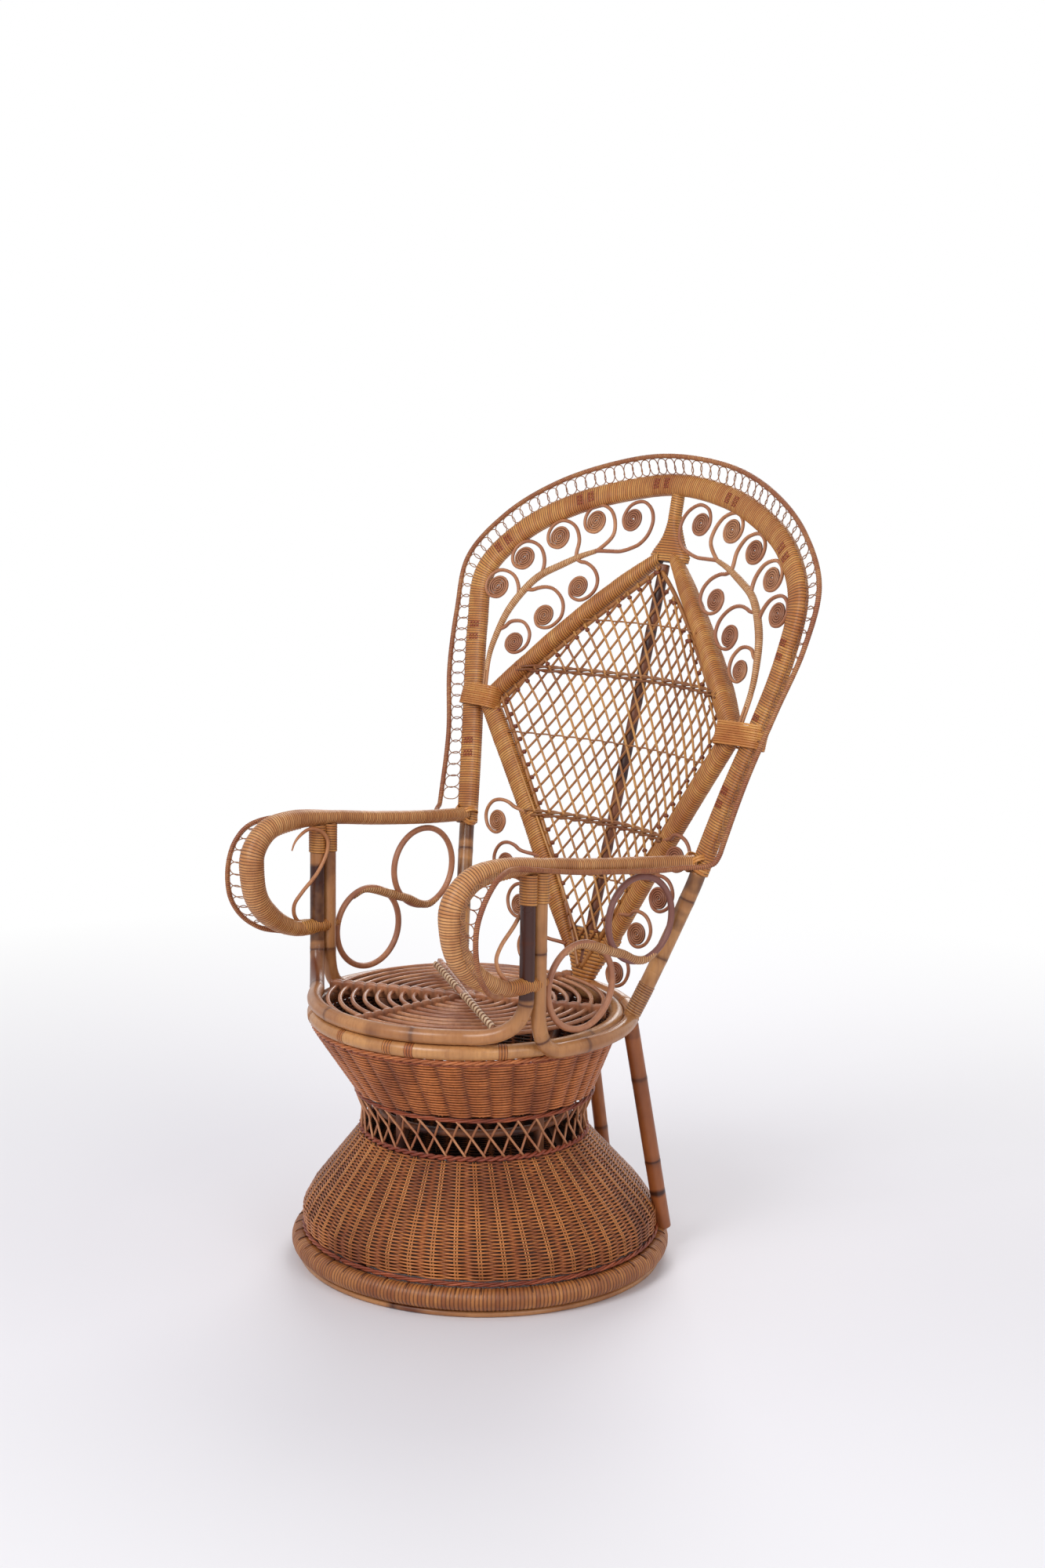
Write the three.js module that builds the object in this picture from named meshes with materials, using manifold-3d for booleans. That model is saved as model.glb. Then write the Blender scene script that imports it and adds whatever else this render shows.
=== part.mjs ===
// Peacock chair: bent rattan poles, cane-wound frames, scrolls and a woven drum base
import * as THREE from 'three';
import Module from 'manifold-3d';

const wasm = await Module();
wasm.setup();

// Clearance between pieces that touch, and the finest detail kept where thin rods join
const gap = 0.3;
const finestDetail = 0.2;

// Drum base, from the floor up
const floorHoopRod = 9.7;
const floorHoopRadius = 284;
const rimRod = 34;
const rimRadius = 283;
const plaitRod = 9;
const wallThickness = 6.5;
const footPlaitRadius = 280;
const skirtFootRadius = 281;
const skirtFootDrop = 22;
const skirtMiddleRadius = 262;
const skirtMiddleHeight = 110;
const skirtTopRadius = 181;
const skirtTopHeight = 206;
const waistRadius = 177;
const waistHeight = 53;
const waistRod = 4.6;
const waistCrossings = 20;
const basketFootRadius = 190;
const basketTopRadius = 239;
const basketPlaitRod = 8;
const basketPlaitRadius = 238;
const waistForward = 16;
const seatForward = 36;

// Posts and hoop inside the drum
const innerPostRod = 16;
const innerFootRadius = 250;
const innerWaistRadius = 150;
const innerTopRadius = 225;
const innerTopOverlap = 4;

// Seat hoops, bent from poles of one thickness
const poleRod = 23;
const seatRingRadius = 235.6;
const seatRingHeight = 396.9;
const postHeightAtBend = 70;
const postTopShare = 0.93;
const postSide = 248;
const frontPostForward = 137;
const frontBendStart = THREE.MathUtils.degToRad(48);
const rearBendStart = THREE.MathUtils.degToRad(81);

// Seat panel of round rods let into three crossing boards
const seatRod = 7;
const seatRodPitch = 23.75;
const seatRodCount = 9;
const innermostRodRadius = 25;
const boardThickness = 8;
const boardHeight = 22;
const panelTopHeight = 422;
const whippedSparRod = 10;
const whippedSparShort = 10;
const whippedSparTurn = THREE.MathUtils.degToRad(151.6);

// Leaning surface of the back: height and place of its foot, its lean and its bow
const backFootHeight = 400;
const backFootPlace = 141.1;
const backLean = THREE.MathUtils.degToRad(18.49);
const backBow = 54.6;

// Wound frame round the back, an oval bundle of poles
const frameHalfWidth = 354;
const frameRise = 851;
const frameWide = 37;
const frameDeep = 24;
const frameCurveShares = [
  [0, 1, 0.12], [0.3025, 0.984, 0.2], [0.587, 0.95, 0], [0.839, 0.892, 0.12], [1, 0.805, 0.26],
  [0.985, 0.688, 0.57], [0.922, 0.566, 0.59], [0.843, 0.44, 0.47], [0.76, 0.286, 0.49],
];

// Thin cane round the edge, and the lace strand between it and the frame
const edgeHalfWidth = 397;
const edgeRise = 900.6;
const edgeRod = 9;
const laceRod = 2.4;
const laceReach = 26;
const laceStrandCount = 20;
const laceEndShare = 0.03;
const armLaceShares = [0.52, 0.81];
const caneLeaveShares = [0.4, 0.62];
const caneReturnShares = [0.72, 0.92];
const armLaceStrandCount = 4;
const edgeCurveShares = [
  [0, 1, -1], [0.3156, 0.984, -0.46], [0.616, 0.94, -0.37], [0.849, 0.874, -0.03], [1, 0.7855, 0.38],
  [0.994, 0.68, 0.48], [0.9375, 0.565, 0.1], [0.86, 0.44, 0.05], [0.811, 0.305, 0],
];

// Kite frame in the middle of the back, its webs and the pole behind it
const kiteHalfWidth = 283.6;
const kiteSideHeight = 841.2;
const kiteSidePlace = 248;
const kiteTopHeight = 1097.5;
const kiteTopPlace = 392;
const kiteFootHeight = 403;
const kiteFootPlace = 212;
const kiteUpperBulge = 8.5;
const kiteLowerHollow = 5.2;
const kiteUpperWide = 23;
const kiteUpperDeep = 29;
const kiteLowerWide = 28;
const kiteLowerDeep = 21;
const kiteStemHalf = 7;
const kiteFootHalf = 13;
const kiteTopWebDrop = 36;
const kiteFootWebRise = 84;
const webDeep = 17;
const centrePoleRod = 18;
const lashingHeight = 37;
const lashingInnerReach = 30;
const lashingWall = 2.6;
const boundSquareness = 0.55;

// Open diamond lattice in the kite
const latticeRod = 4.4;
const latticePitch = 88;
const latticeBarRows = [-5, -1, 1, 3];

// Scroll branches and scrolls of the back
const branchFootRod = 8;
const branchMiddleRod = 12;
const branchTipRod = 8;
const branchHalfWidth = 300;
const branchFootRise = 846;
const branchRise = 247;
const branchCurveShares = [
  [0.97, 0], [1, 0.25], [0.993, 0.37], [0.953, 0.562], [0.873, 0.725],
  [0.8, 0.814], [0.673, 0.895], [0.55, 0.963], [0.46, 1],
];
const scrollRod = 4;
const scrollDiscRadius = 14.2;
const scrollPitch = 4.9;
const scrollTurns = 2;
const stepsPerTurn = 6;
const scrollSides = 4;

// Middles of the scroll discs and where each rod leaves the branch
const upperScrolls = [
  { name: 'outer_scroll_1', side: 316, height: 1021, leaves: 0.5, turnsIn: 180 },
  { name: 'outer_scroll_2', side: 282, height: 1075, leaves: 0.66, turnsIn: 180 },
  { name: 'outer_scroll_3', side: 221, height: 1112, leaves: 0.79, turnsIn: 180 },
  { name: 'outer_scroll_4', side: 154, height: 1141, leaves: 0.96, turnsIn: 180 },
  { name: 'outer_scroll_5', side: 78, height: 1148, leaves: 1, turnsIn: 180 },
  { name: 'inner_scroll_1', side: 257, height: 936, leaves: 0.4, turnsIn: -150 },
  { name: 'inner_scroll_2', side: 213, height: 983, leaves: 0.62, turnsIn: -150 },
  { name: 'inner_scroll_3', side: 158, height: 1035, leaves: 0.88, turnsIn: -150 },
];

// Lower scrolls, each bent off the kite's lower rail
const lowerScrollFootPlace = 185;
const lowerScrollFootHeight = 440;
const lowerScrollLean = 0.128;
const lowerScrolls = [
  { name: 'lower_scroll_1', side: 211, height: 642 },
  { name: 'lower_scroll_2', side: 179, height: 574 },
  { name: 'lower_scroll_3', side: 139, height: 510 },
  { name: 'lower_scroll_4', side: 101, height: 446 },
];
const lowerLoopRise = 27;
const lowerLoopEnd = THREE.MathUtils.degToRad(300);

// Arms: a wound tube that runs forward, curls down and returns to the posts
const armRearSide = 268;
const armFrontSide = 238;
const armSideShares = [[-1, 0], [-0.5, 0.37], [0.33, 0.47], [0.6, 0.62], [0.72, 1]];
const armReach = 272;
const armReturnHeight = 502;
const armRise = 179;
const armRearRod = 23;
const armCurlRod = 41;
const armReturnRod = 25;
const armCurveShares = [
  [0.72, 0.81], [-0.05, 0.91], [-0.404, 0.978], [-0.7, 1], [-0.886, 0.944], [-0.993, 0.771],
  [-1, 0.564], [-0.96, 0.341], [-0.83, 0.14], [-0.654, 0.017], [-0.41, 0],
];
const armSwellShare = 0.64;
const armSwellSpreadShare = 0.2;
const armCaneSpread = 57;
const scrollRingRadius = 65;
const scrollRingRod = 8;
const upperRingPlace = 89;
const upperRingHeight = 576;
const lowerRingPlace = 33;
const lowerRingHeight = 486;
const ringLinkRod = 13;
const ringPieces = 18;
const hookRod = 6;
const hookHeight = 150;
const hookWidth = 62;
const hookFootPlace = 182;
const hookLeanShare = 0.5;
const hookCurveShares = [
  [0.04, 0.71], [0.16, 0.91], [0.4, 1], [0.66, 0.95], [0.8, 0.84], [0.78, 0.72],
  [0.52, 0.49], [0.1, 0.28], [-0.1, 0.15], [-0.1, 0.04], [0, -0.03],
];

// Legs behind the drum
const sideLegRod = 25;
const centreLegRod = 22;
const legFootRadius = 292;
const legFootTurn = THREE.MathUtils.degToRad(46.5);
const legTopTurn = THREE.MathUtils.degToRad(39);
const centreLegFootPlace = 286;
const legOverlap = 12;

// Finishes
const caneLook = new THREE.MeshStandardMaterial({ color: 0xb8763a, roughness: 0.55, metalness: 0 });
const poleLook = new THREE.MeshStandardMaterial({ color: 0xc08a45, roughness: 0.45, metalness: 0 });
const rodLook = new THREE.MeshStandardMaterial({ color: 0xa9714a, roughness: 0.5, metalness: 0 });
const weaveLook = new THREE.MeshStandardMaterial({ color: 0xb06a38, roughness: 0.65, metalness: 0 });
const plaitLook = new THREE.MeshStandardMaterial({ color: 0x8e4228, roughness: 0.65, metalness: 0 });

const chair = new THREE.Group();

// Heights that follow from the pieces stacked on the floor
const rimHeight = floorHoopRod + gap + rimRod / 2;
const rimTop = rimHeight + rimRod / 2;
const footPlaitHeight = rimTop + gap + plaitRod / 2;
const skirtFootHeight = footPlaitHeight + plaitRod / 2 + gap;
const lowerPlaitHeight = skirtTopHeight + gap + plaitRod / 2;
const waistFootHeight = lowerPlaitHeight + plaitRod / 2 + gap;
const upperPlaitHeight = waistFootHeight + waistHeight + gap + plaitRod / 2;
const basketFootHeight = upperPlaitHeight + plaitRod / 2 + gap;
const basketPlaitHeight = seatRingHeight - poleRod / 2 - gap - basketPlaitRod / 2;
const basketTopHeight = basketPlaitHeight - basketPlaitRod / 2 - gap;
const frontHoopHeight = seatRingHeight + poleRod + gap;
const rearHoopRadius = seatRingRadius + poleRod + gap;

// Solids from points and triangles; points at one place become one
function solid(points, triangles) {
  const seen = new Map();
  const kept = [];
  const index = points.map((point) => {
    const key = point.toArray().map((value) => value.toFixed(4)).join(' ');
    if (!seen.has(key)) {
      seen.set(key, kept.length);
      kept.push(point);
    }
    return seen.get(key);
  });
  const vertProperties = new Float32Array(kept.flatMap((point) => point.toArray()));
  const triVerts = new Uint32Array(triangles.flat().map((corner) => index[corner]));
  return new wasm.Manifold(new wasm.Mesh({ numProp: 3, vertProperties, triVerts }));
}

// Plate from a flat outline with holes; place(u, v, side) puts each corner of a face
function plate(outline, holes, place, openEdges = () => false) {
  const flat = [outline, ...holes].flat();
  const faces = THREE.ShapeUtils.triangulateShape(outline, holes);
  const points = [1, -1].flatMap((side) => flat.map((corner) => place(corner.x, corner.y, side)));
  const back = flat.length;
  const triangles = faces.flatMap(([a, b, c]) => [[a, b, c], [back + a, back + c, back + b]]);
  let first = 0;
  for (const loop of [outline, ...holes]) {
    loop.forEach((corner, i) => {
      const beside = (i + 1) % loop.length;
      if (!openEdges(corner, loop[beside])) {
        const [a, b] = [first + i, first + beside];
        triangles.push([a, back + a, back + b], [a, back + b, b]);
      }
    });
    first += loop.length;
  }
  return { points, triangles };
}

// Part of a flat loop that lies on the left of the line from one point to another
function clipLoop(loop, from, to) {
  const line = to.clone().sub(from);
  const leftOf = (corner) => line.cross(corner.clone().sub(from));
  const kept = [];
  loop.forEach((corner, i) => {
    const next = loop[(i + 1) % loop.length];
    const [here, there] = [leftOf(corner), leftOf(next)];
    if (here >= 0) {
      kept.push(corner);
    }
    if ((here >= 0) !== (there >= 0)) {
      kept.push(corner.clone().lerp(next, here / (here - there)));
    }
  });
  return kept.filter((corner, i) => corner.distanceTo(kept[(i + 1) % kept.length]) > finestDetail);
}

function loopArea(loop) {
  return Math.abs(THREE.ShapeUtils.area(loop));
}

function sizeAt(size, share) {
  return typeof size === 'function' ? size(share) : size;
}

// Solid swept along points; wide and deep are the section's full sizes, over its flats where it has them
function sweep(points, { wide, deep = wide, sides = 6, closed = false, facing, square = 1 }) {
  const count = points.length;
  const corners = [];
  const triangles = [];
  const overFlats = sides % 4 === 0 && square === 1 ? 1 / Math.cos(Math.PI / sides) : 1;
  let carried = null;
  points.forEach((point, i) => {
    const before = closed ? points[(i + count - 1) % count] : points[Math.max(i - 1, 0)];
    const after = closed ? points[(i + 1) % count] : points[Math.min(i + 1, count - 1)];
    const along = after.clone().sub(before).normalize();
    const rough = facing ? facing(point, along) : carried ?? leastAxis(along);
    const up = rough.clone().addScaledVector(along, -rough.dot(along)).normalize();
    carried = up;
    const across = up.clone().cross(along);
    const share = i / (count - 1);
    const halfWide = (overFlats * sizeAt(wide, share)) / 2;
    const halfDeep = (overFlats * sizeAt(deep, share)) / 2;
    for (let k = 0; k < sides; k += 1) {
      const turn = (2 * Math.PI * (k + 0.5)) / sides;
      const c = Math.sign(Math.cos(turn)) * Math.abs(Math.cos(turn)) ** square;
      const s = Math.sign(Math.sin(turn)) * Math.abs(Math.sin(turn)) ** square;
      corners.push(point.clone().addScaledVector(across, halfWide * c).addScaledVector(up, halfDeep * s));
    }
  });
  const rings = closed ? count : count - 1;
  for (let i = 0; i < rings; i += 1) {
    const here = i * sides;
    const next = ((i + 1) % count) * sides;
    for (let k = 0; k < sides; k += 1) {
      const beside = (k + 1) % sides;
      triangles.push([here + k, here + beside, next + beside]);
      triangles.push([here + k, next + beside, next + k]);
    }
  }
  if (!closed) {
    const last = (count - 1) * sides;
    for (let k = 1; k < sides - 1; k += 1) {
      triangles.push([0, k + 1, k]);
      triangles.push([last, last + k, last + k + 1]);
    }
  }
  return solid(corners, triangles);
}

function leastAxis(along) {
  const axes = [new THREE.Vector3(1, 0, 0), new THREE.Vector3(0, 1, 0), new THREE.Vector3(0, 0, 1)];
  return axes.reduce((best, axis) => (Math.abs(axis.dot(along)) < Math.abs(best.dot(along)) ? axis : best));
}

const upward = () => new THREE.Vector3(0, 0, 1);
const sideways = () => new THREE.Vector3(1, 0, 0);

function smoothPath(points, pieces) {
  return new THREE.CatmullRomCurve3(points, false, 'centripetal').getPoints(pieces);
}

function circlePoints(radius, height, place, pieces) {
  const points = [];
  for (let i = 0; i < pieces; i += 1) {
    const turn = (2 * Math.PI * i) / pieces;
    points.push(new THREE.Vector3(radius * Math.sin(turn), place - radius * Math.cos(turn), height));
  }
  return points;
}

function hoop(radius, height, place, rod, pieces, sides, grow = 0) {
  const points = circlePoints(radius, height, place, pieces);
  return sweep(points, { wide: rod + 2 * grow, sides, closed: true, facing: upward });
}

// Largest body of a trimmed solid; trimming may leave loose crumbs
function largest(trimmed) {
  const bodies = trimmed.decompose();
  return bodies.reduce((best, body) => (body.volume() > best.volume() ? body : best));
}

function tidy(body) {
  return largest(body.simplify(finestDetail));
}

function trim(body, ...tools) {
  return largest(body.subtract(wasm.Manifold.union(tools)));
}

function add(name, body, look) {
  const mesh = body.getMesh();
  const geometry = new THREE.BufferGeometry();
  geometry.setAttribute('position', new THREE.BufferAttribute(new Float32Array(mesh.vertProperties), 3));
  geometry.setIndex(new THREE.BufferAttribute(new Uint32Array(mesh.triVerts), 1));
  geometry.computeVertexNormals();
  const node = new THREE.Mesh(geometry, look);
  node.name = name;
  chair.add(node);
  return node;
}

// The drum leans forward as it rises
function forwardAt(height) {
  const rise = THREE.MathUtils.clamp((height - skirtFootHeight) / (skirtTopHeight - skirtFootHeight), 0, 1);
  const upper = (height - upperPlaitHeight) / (basketTopHeight - upperPlaitHeight);
  return -waistForward * rise - (seatForward - waistForward) * THREE.MathUtils.clamp(upper, 0, 1);
}

// Round wall from a row of outer radii and heights, leaning with the drum
function roundWall(outline, thickness, pieces) {
  const loop = [
    ...outline.map(([radius, height]) => [radius, height]),
    ...outline.map(([radius, height]) => [radius - thickness, height]).reverse(),
  ];
  const points = [];
  const triangles = [];
  for (let i = 0; i < pieces; i += 1) {
    const turn = (2 * Math.PI * i) / pieces;
    for (const [radius, height] of loop) {
      const place = forwardAt(height) - radius * Math.cos(turn);
      points.push(new THREE.Vector3(radius * Math.sin(turn), place, height));
    }
  }
  const size = loop.length;
  for (let i = 0; i < pieces; i += 1) {
    const here = i * size;
    const next = ((i + 1) % pieces) * size;
    for (let k = 0; k < size; k += 1) {
      const beside = (k + 1) % size;
      triangles.push([here + k, next + k, next + beside]);
      triangles.push([here + k, next + beside, here + beside]);
    }
  }
  return solid(points, triangles);
}

// Base hoops, woven walls and plaits
const roundPieces = 28;
const rimSolid = (grow = 0) => hoop(rimRadius, rimHeight, 0, rimRod, roundPieces, 8, grow);
const footPlaitSolid = (grow = 0) => (
  hoop(footPlaitRadius, footPlaitHeight, 0, plaitRod, roundPieces, 4, grow)
);
const skirtOutline = [
  [skirtFootRadius, skirtFootHeight],
  [skirtFootRadius, skirtFootHeight + skirtFootDrop],
  [skirtMiddleRadius, skirtMiddleHeight],
  [skirtTopRadius, skirtTopHeight],
];
const skirtSolid = (grow = 0) => roundWall(
  skirtOutline.map(([radius, height]) => [radius + grow, height]),
  wallThickness,
  roundPieces,
);
const basketOutline = [[basketFootRadius, basketFootHeight], [basketTopRadius, basketTopHeight]];

add('floor_hoop', hoop(floorHoopRadius, floorHoopRod / 2, 0, floorHoopRod, roundPieces, 4), caneLook);
add('rim_hoop', rimSolid(), caneLook);
add('foot_plait', footPlaitSolid(), plaitLook);
add('lower_waist_plait', waistPlait(skirtTopRadius, lowerPlaitHeight), plaitLook);
add('waist_lattice', waistLattice(), rodLook);
add('upper_waist_plait', waistPlait(basketFootRadius, upperPlaitHeight), plaitLook);
add('basket_wall', roundWall(basketOutline, wallThickness, roundPieces), weaveLook);
add(
  'basket_plait',
  hoop(basketPlaitRadius, basketPlaitHeight, -seatForward, basketPlaitRod, roundPieces, 4),
  plaitLook,
);

function waistPlait(wallRadius, height) {
  return hoop(wallRadius - wallThickness / 2, height, forwardAt(height), plaitRod, roundPieces, 4);
}

// Rods that cross all round the waist and meet at their ends, one crossing a unit
function waistLattice() {
  const points = [];
  const triangles = [];
  const unitTurn = (2 * Math.PI) / waistCrossings;
  const radiusAt = (share) => {
    const rise = (basketFootRadius - skirtTopRadius) * share;
    const pinch = (skirtTopRadius - waistRadius) * Math.sin(Math.PI * share);
    return skirtTopRadius - wallThickness / 2 + rise - pinch;
  };
  const halfUnit = (unitTurn * waistRadius) / 2;
  const halfRise = waistHeight / 2;
  const reach = (waistRod / 2) * Math.hypot(1 / halfUnit, 1 / halfRise);
  const quarter = [
    [reach, 0], [1, 1 - reach], [1, 1], [1 - reach, 1],
  ];
  const upperRight = quarter;
  const upperLeft = quarter.map(([u, v]) => [-u, v]).reverse();
  const lowerLeft = quarter.map(([u, v]) => [-u, -v]);
  const lowerRight = quarter.map(([u, v]) => [u, -v]).reverse();
  const crotch = [[0, reach], [0, -reach]];
  const corners = [
    ...upperRight, crotch[0], ...upperLeft, ...lowerLeft.slice(1), crotch[1], ...lowerRight.slice(0, -1),
  ];
  const outline = corners.map(([u, v]) => new THREE.Vector2(u, v));
  const shared = (from, to) => Math.abs(from.x) === 1 && from.x === to.x;
  for (let i = 0; i < waistCrossings; i += 1) {
    const place = (u, v, side) => {
      const turn = unitTurn * (i + u / 2);
      const share = (v + 1) / 2;
      const height = waistFootHeight + waistHeight * share;
      const radius = radiusAt(share) + (side * waistRod) / 2;
      const across = radius * Math.sin(turn);
      return new THREE.Vector3(across, forwardAt(height) - radius * Math.cos(turn), height);
    };
    const unit = plate(outline, [], place, shared);
    const first = points.length;
    points.push(...unit.points);
    triangles.push(...unit.triangles.map((triangle) => triangle.map((corner) => corner + first)));
  }
  return solid(points, triangles);
}

// Four posts and a hoop that hold the seat up inside the drum
function innerFrame() {
  const waistMiddle = waistFootHeight + waistHeight / 2;
  const posts = [0, 1, 2, 3].map((quarter) => {
    const turn = (Math.PI / 2) * quarter;
    const at = (radius, height) => new THREE.Vector3(
      radius * Math.sin(turn),
      forwardAt(height) - radius * Math.cos(turn),
      height,
    );
    const points = [
      at(innerFootRadius, floorHoopRod),
      at(innerWaistRadius, skirtTopHeight),
      at(innerWaistRadius, upperPlaitHeight),
      at(innerTopRadius, seatRingHeight - poleRod / 2 + innerTopOverlap),
    ];
    return sweep(points, { wide: innerPostRod });
  });
  const tie = hoop(innerWaistRadius, waistMiddle, forwardAt(waistMiddle), innerPostRod / 2, 24, 4);
  return trim(wasm.Manifold.union([...posts, tie]), seatRingSolid(gap), rearHoopSolid(gap));
}

// Seat hoops: a full ring, and two hoops whose ends bend up into the arm posts
function seatRingSolid(grow = 0) {
  return hoop(seatRingRadius, seatRingHeight, -seatForward, poleRod, roundPieces, 6, grow);
}

const rearPostForward = frontPostForward - poleRod - gap;

function bentHoop(radius, height, start, end, postForward, grow, facingFront) {
  const arc = [];
  const pieces = facingFront ? 10 : 14;
  for (let i = 0; i <= pieces; i += 1) {
    const turn = start + ((end - start) * i) / pieces;
    arc.push(new THREE.Vector3(
      radius * Math.sin(turn),
      -seatForward - radius * Math.cos(turn),
      height,
    ));
  }
  const postEnd = (hand) => {
    const hoopEnd = arc[0].x * hand > 0 ? arc[0] : arc.at(-1);
    const foot = new THREE.Vector3(hand * postSide, -postForward, height);
    const bendTop = new THREE.Vector3(hand * postSide, -postForward, height + postHeightAtBend);
    const bend = new THREE.QuadraticBezierCurve3(hoopEnd, foot, bendTop).getPoints(6).slice(1);
    const top = new THREE.Vector3(hand * postSide, -postForward, armReturnHeight + armRise * postTopShare);
    return [...bend, top];
  };
  const first = facingFront ? -1 : 1;
  const points = [...postEnd(first).reverse(), ...arc, ...postEnd(-first)];
  return sweep(points, { wide: poleRod + 2 * grow });
}

const frontHoopSolid = (grow = 0) => bentHoop(
  seatRingRadius, frontHoopHeight, -frontBendStart, frontBendStart, frontPostForward, grow, true,
);
const rearHoopSolid = (grow = 0) => bentHoop(
  rearHoopRadius, seatRingHeight, rearBendStart, 2 * Math.PI - rearBendStart, rearPostForward, grow, false,
);

// Arm centre line, and how thick the arm is along it
function armSide(place) {
  const share = THREE.MathUtils.clamp(place / armReach, -1, armSideShares.at(-1)[0]);
  const next = Math.max(armSideShares.findIndex(([placeShare]) => placeShare >= share), 1);
  const [[lowPlace, lowSide], [highPlace, highSide]] = [armSideShares[next - 1], armSideShares[next]];
  const sideShare = THREE.MathUtils.mapLinear(share, lowPlace, highPlace, lowSide, highSide);
  return THREE.MathUtils.lerp(armFrontSide, armRearSide, sideShare);
}

function armPath(hand, pieces = 24) {
  const points = armCurveShares.map(([placeShare, riseShare]) => {
    const place = placeShare * armReach;
    return new THREE.Vector3(hand * armSide(place), place, armReturnHeight + riseShare * armRise);
  });
  return smoothPath(points, pieces);
}

function armThickness(share) {
  const swell = Math.exp(-(((share - armSwellShare) / armSwellSpreadShare) ** 2));
  const plain = THREE.MathUtils.lerp(armRearRod, armReturnRod, share);
  return plain + (armCurlRod - plain) * swell;
}

const armSolid = (hand, grow = 0) => sweep(
  armPath(hand),
  { wide: (share) => armThickness(share) + 2 * grow, facing: sideways, sides: 7 },
);
const bothArms = (grow) => wasm.Manifold.union([armSolid(-1, grow), armSolid(1, grow)]);

// Points of the leaning back from a side place and a height or a rise along the slope
function backPlace(side, height) {
  const rise = (height - backFootHeight) * Math.tan(backLean);
  return backFootPlace + rise - backBow * (side / frameHalfWidth) ** 2;
}

function backPoint(side, height, setback = 0) {
  return new THREE.Vector3(side, backPlace(side, height) + setback, height);
}

function backFacing(point) {
  const bowSlope = (2 * backBow * point.x) / frameHalfWidth ** 2;
  return new THREE.Vector3(-bowSlope, -1, Math.tan(backLean)).normalize();
}

function curveRoundBack(shares, halfWidth, rise, depth, pieces) {
  const right = shares.map(([sideShare, riseShare, depthShare]) => {
    const height = backFootHeight + rise * riseShare * Math.cos(backLean);
    return backPoint(sideShare * halfWidth, height, depthShare * depth);
  });
  const left = right.slice(1).reverse().map((point) => new THREE.Vector3(-point.x, point.y, point.z));
  return smoothPath([...left, ...right], pieces);
}

const framePath = curveRoundBack(frameCurveShares, frameHalfWidth, frameRise, frameDeep, 40);
const frameSolid = (grow = 0) => sweep(
  framePath,
  { wide: frameWide + 2 * grow, deep: frameDeep + 2 * grow, sides: 8, facing: backFacing },
);

// Kite frame: two bent poles bound together at the top, at the foot and at the sides
function kiteLine(height) {
  const share = (height - kiteFootHeight) / (kiteTopHeight - kiteFootHeight);
  return kiteFootPlace + (kiteTopPlace - kiteFootPlace) * share;
}

const kiteSide = (hand) => new THREE.Vector3(hand * kiteHalfWidth, kiteSidePlace, kiteSideHeight);

function upperRail(hand) {
  const top = new THREE.Vector3(hand * kiteStemHalf, kiteTopPlace, kiteTopHeight);
  const side = kiteSide(hand);
  const middle = top.clone().add(side).multiplyScalar(0.5);
  middle.add(new THREE.Vector3(hand * kiteUpperBulge, -kiteUpperBulge, kiteUpperBulge).multiplyScalar(2));
  return new THREE.QuadraticBezierCurve3(top, middle, side);
}

function lowerRail(hand) {
  const foot = new THREE.Vector3(hand * kiteFootHalf, kiteFootPlace, kiteFootHeight);
  const side = kiteSide(hand);
  const middle = foot.clone().add(side).multiplyScalar(0.5);
  middle.add(new THREE.Vector3(-hand * kiteLowerHollow, 0, kiteLowerHollow).multiplyScalar(2));
  return new THREE.QuadraticBezierCurve3(side, middle, foot);
}

function kiteRailPath(hand) {
  const frameTop = framePath[framePath.length >> 1];
  const stemTop = new THREE.Vector3(hand * kiteStemHalf, frameTop.y, frameTop.z);
  return [stemTop, ...upperRail(hand).getPoints(5), ...lowerRail(hand).getPoints(5).slice(1)];
}

function web(halfWidths, heights, grow) {
  const points = heights.map((height) => new THREE.Vector3(0, kiteLine(height), height));
  const wide = (share) => {
    const at = share * (heights.length - 1);
    const low = Math.min(Math.floor(at), heights.length - 2);
    return 2 * (THREE.MathUtils.lerp(halfWidths[low], halfWidths[low + 1], at - low) + grow);
  };
  const facing = () => new THREE.Vector3(0, -1, 0);
  return sweep(points, { wide, deep: webDeep + 2 * grow, facing, sides: 8, square: boundSquareness });
}

function railSideAt(rail, height) {
  const points = rail(1).getPoints(24);
  const near = points.reduce((best, point) => (
    Math.abs(point.z - height) < Math.abs(best.z - height) ? point : best
  ));
  return near;
}

function kiteSolid(grow = 0) {
  const rails = [-1, 1].map((hand) => sweep(kiteRailPath(hand), {
    wide: (share) => THREE.MathUtils.lerp(kiteUpperWide, kiteLowerWide, share) + 2 * grow,
    deep: (share) => THREE.MathUtils.lerp(kiteUpperDeep, kiteLowerDeep, share) + 2 * grow,
    facing: backFacing,
    sides: 6,
  }));
  const topWebFoot = kiteTopHeight - kiteTopWebDrop;
  const footWebTop = kiteFootHeight + kiteFootWebRise;
  const topWeb = web(
    [railSideAt(upperRail, topWebFoot).x, kiteStemHalf],
    [topWebFoot, kiteTopHeight + kiteTopWebDrop / 2],
    grow,
  );
  const footWeb = web(
    [kiteFootHalf, railSideAt(lowerRail, footWebTop).x],
    [kiteFootHeight, footWebTop],
    grow,
  );
  return wasm.Manifold.union([...rails, topWeb, footWeb]);
}

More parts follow.
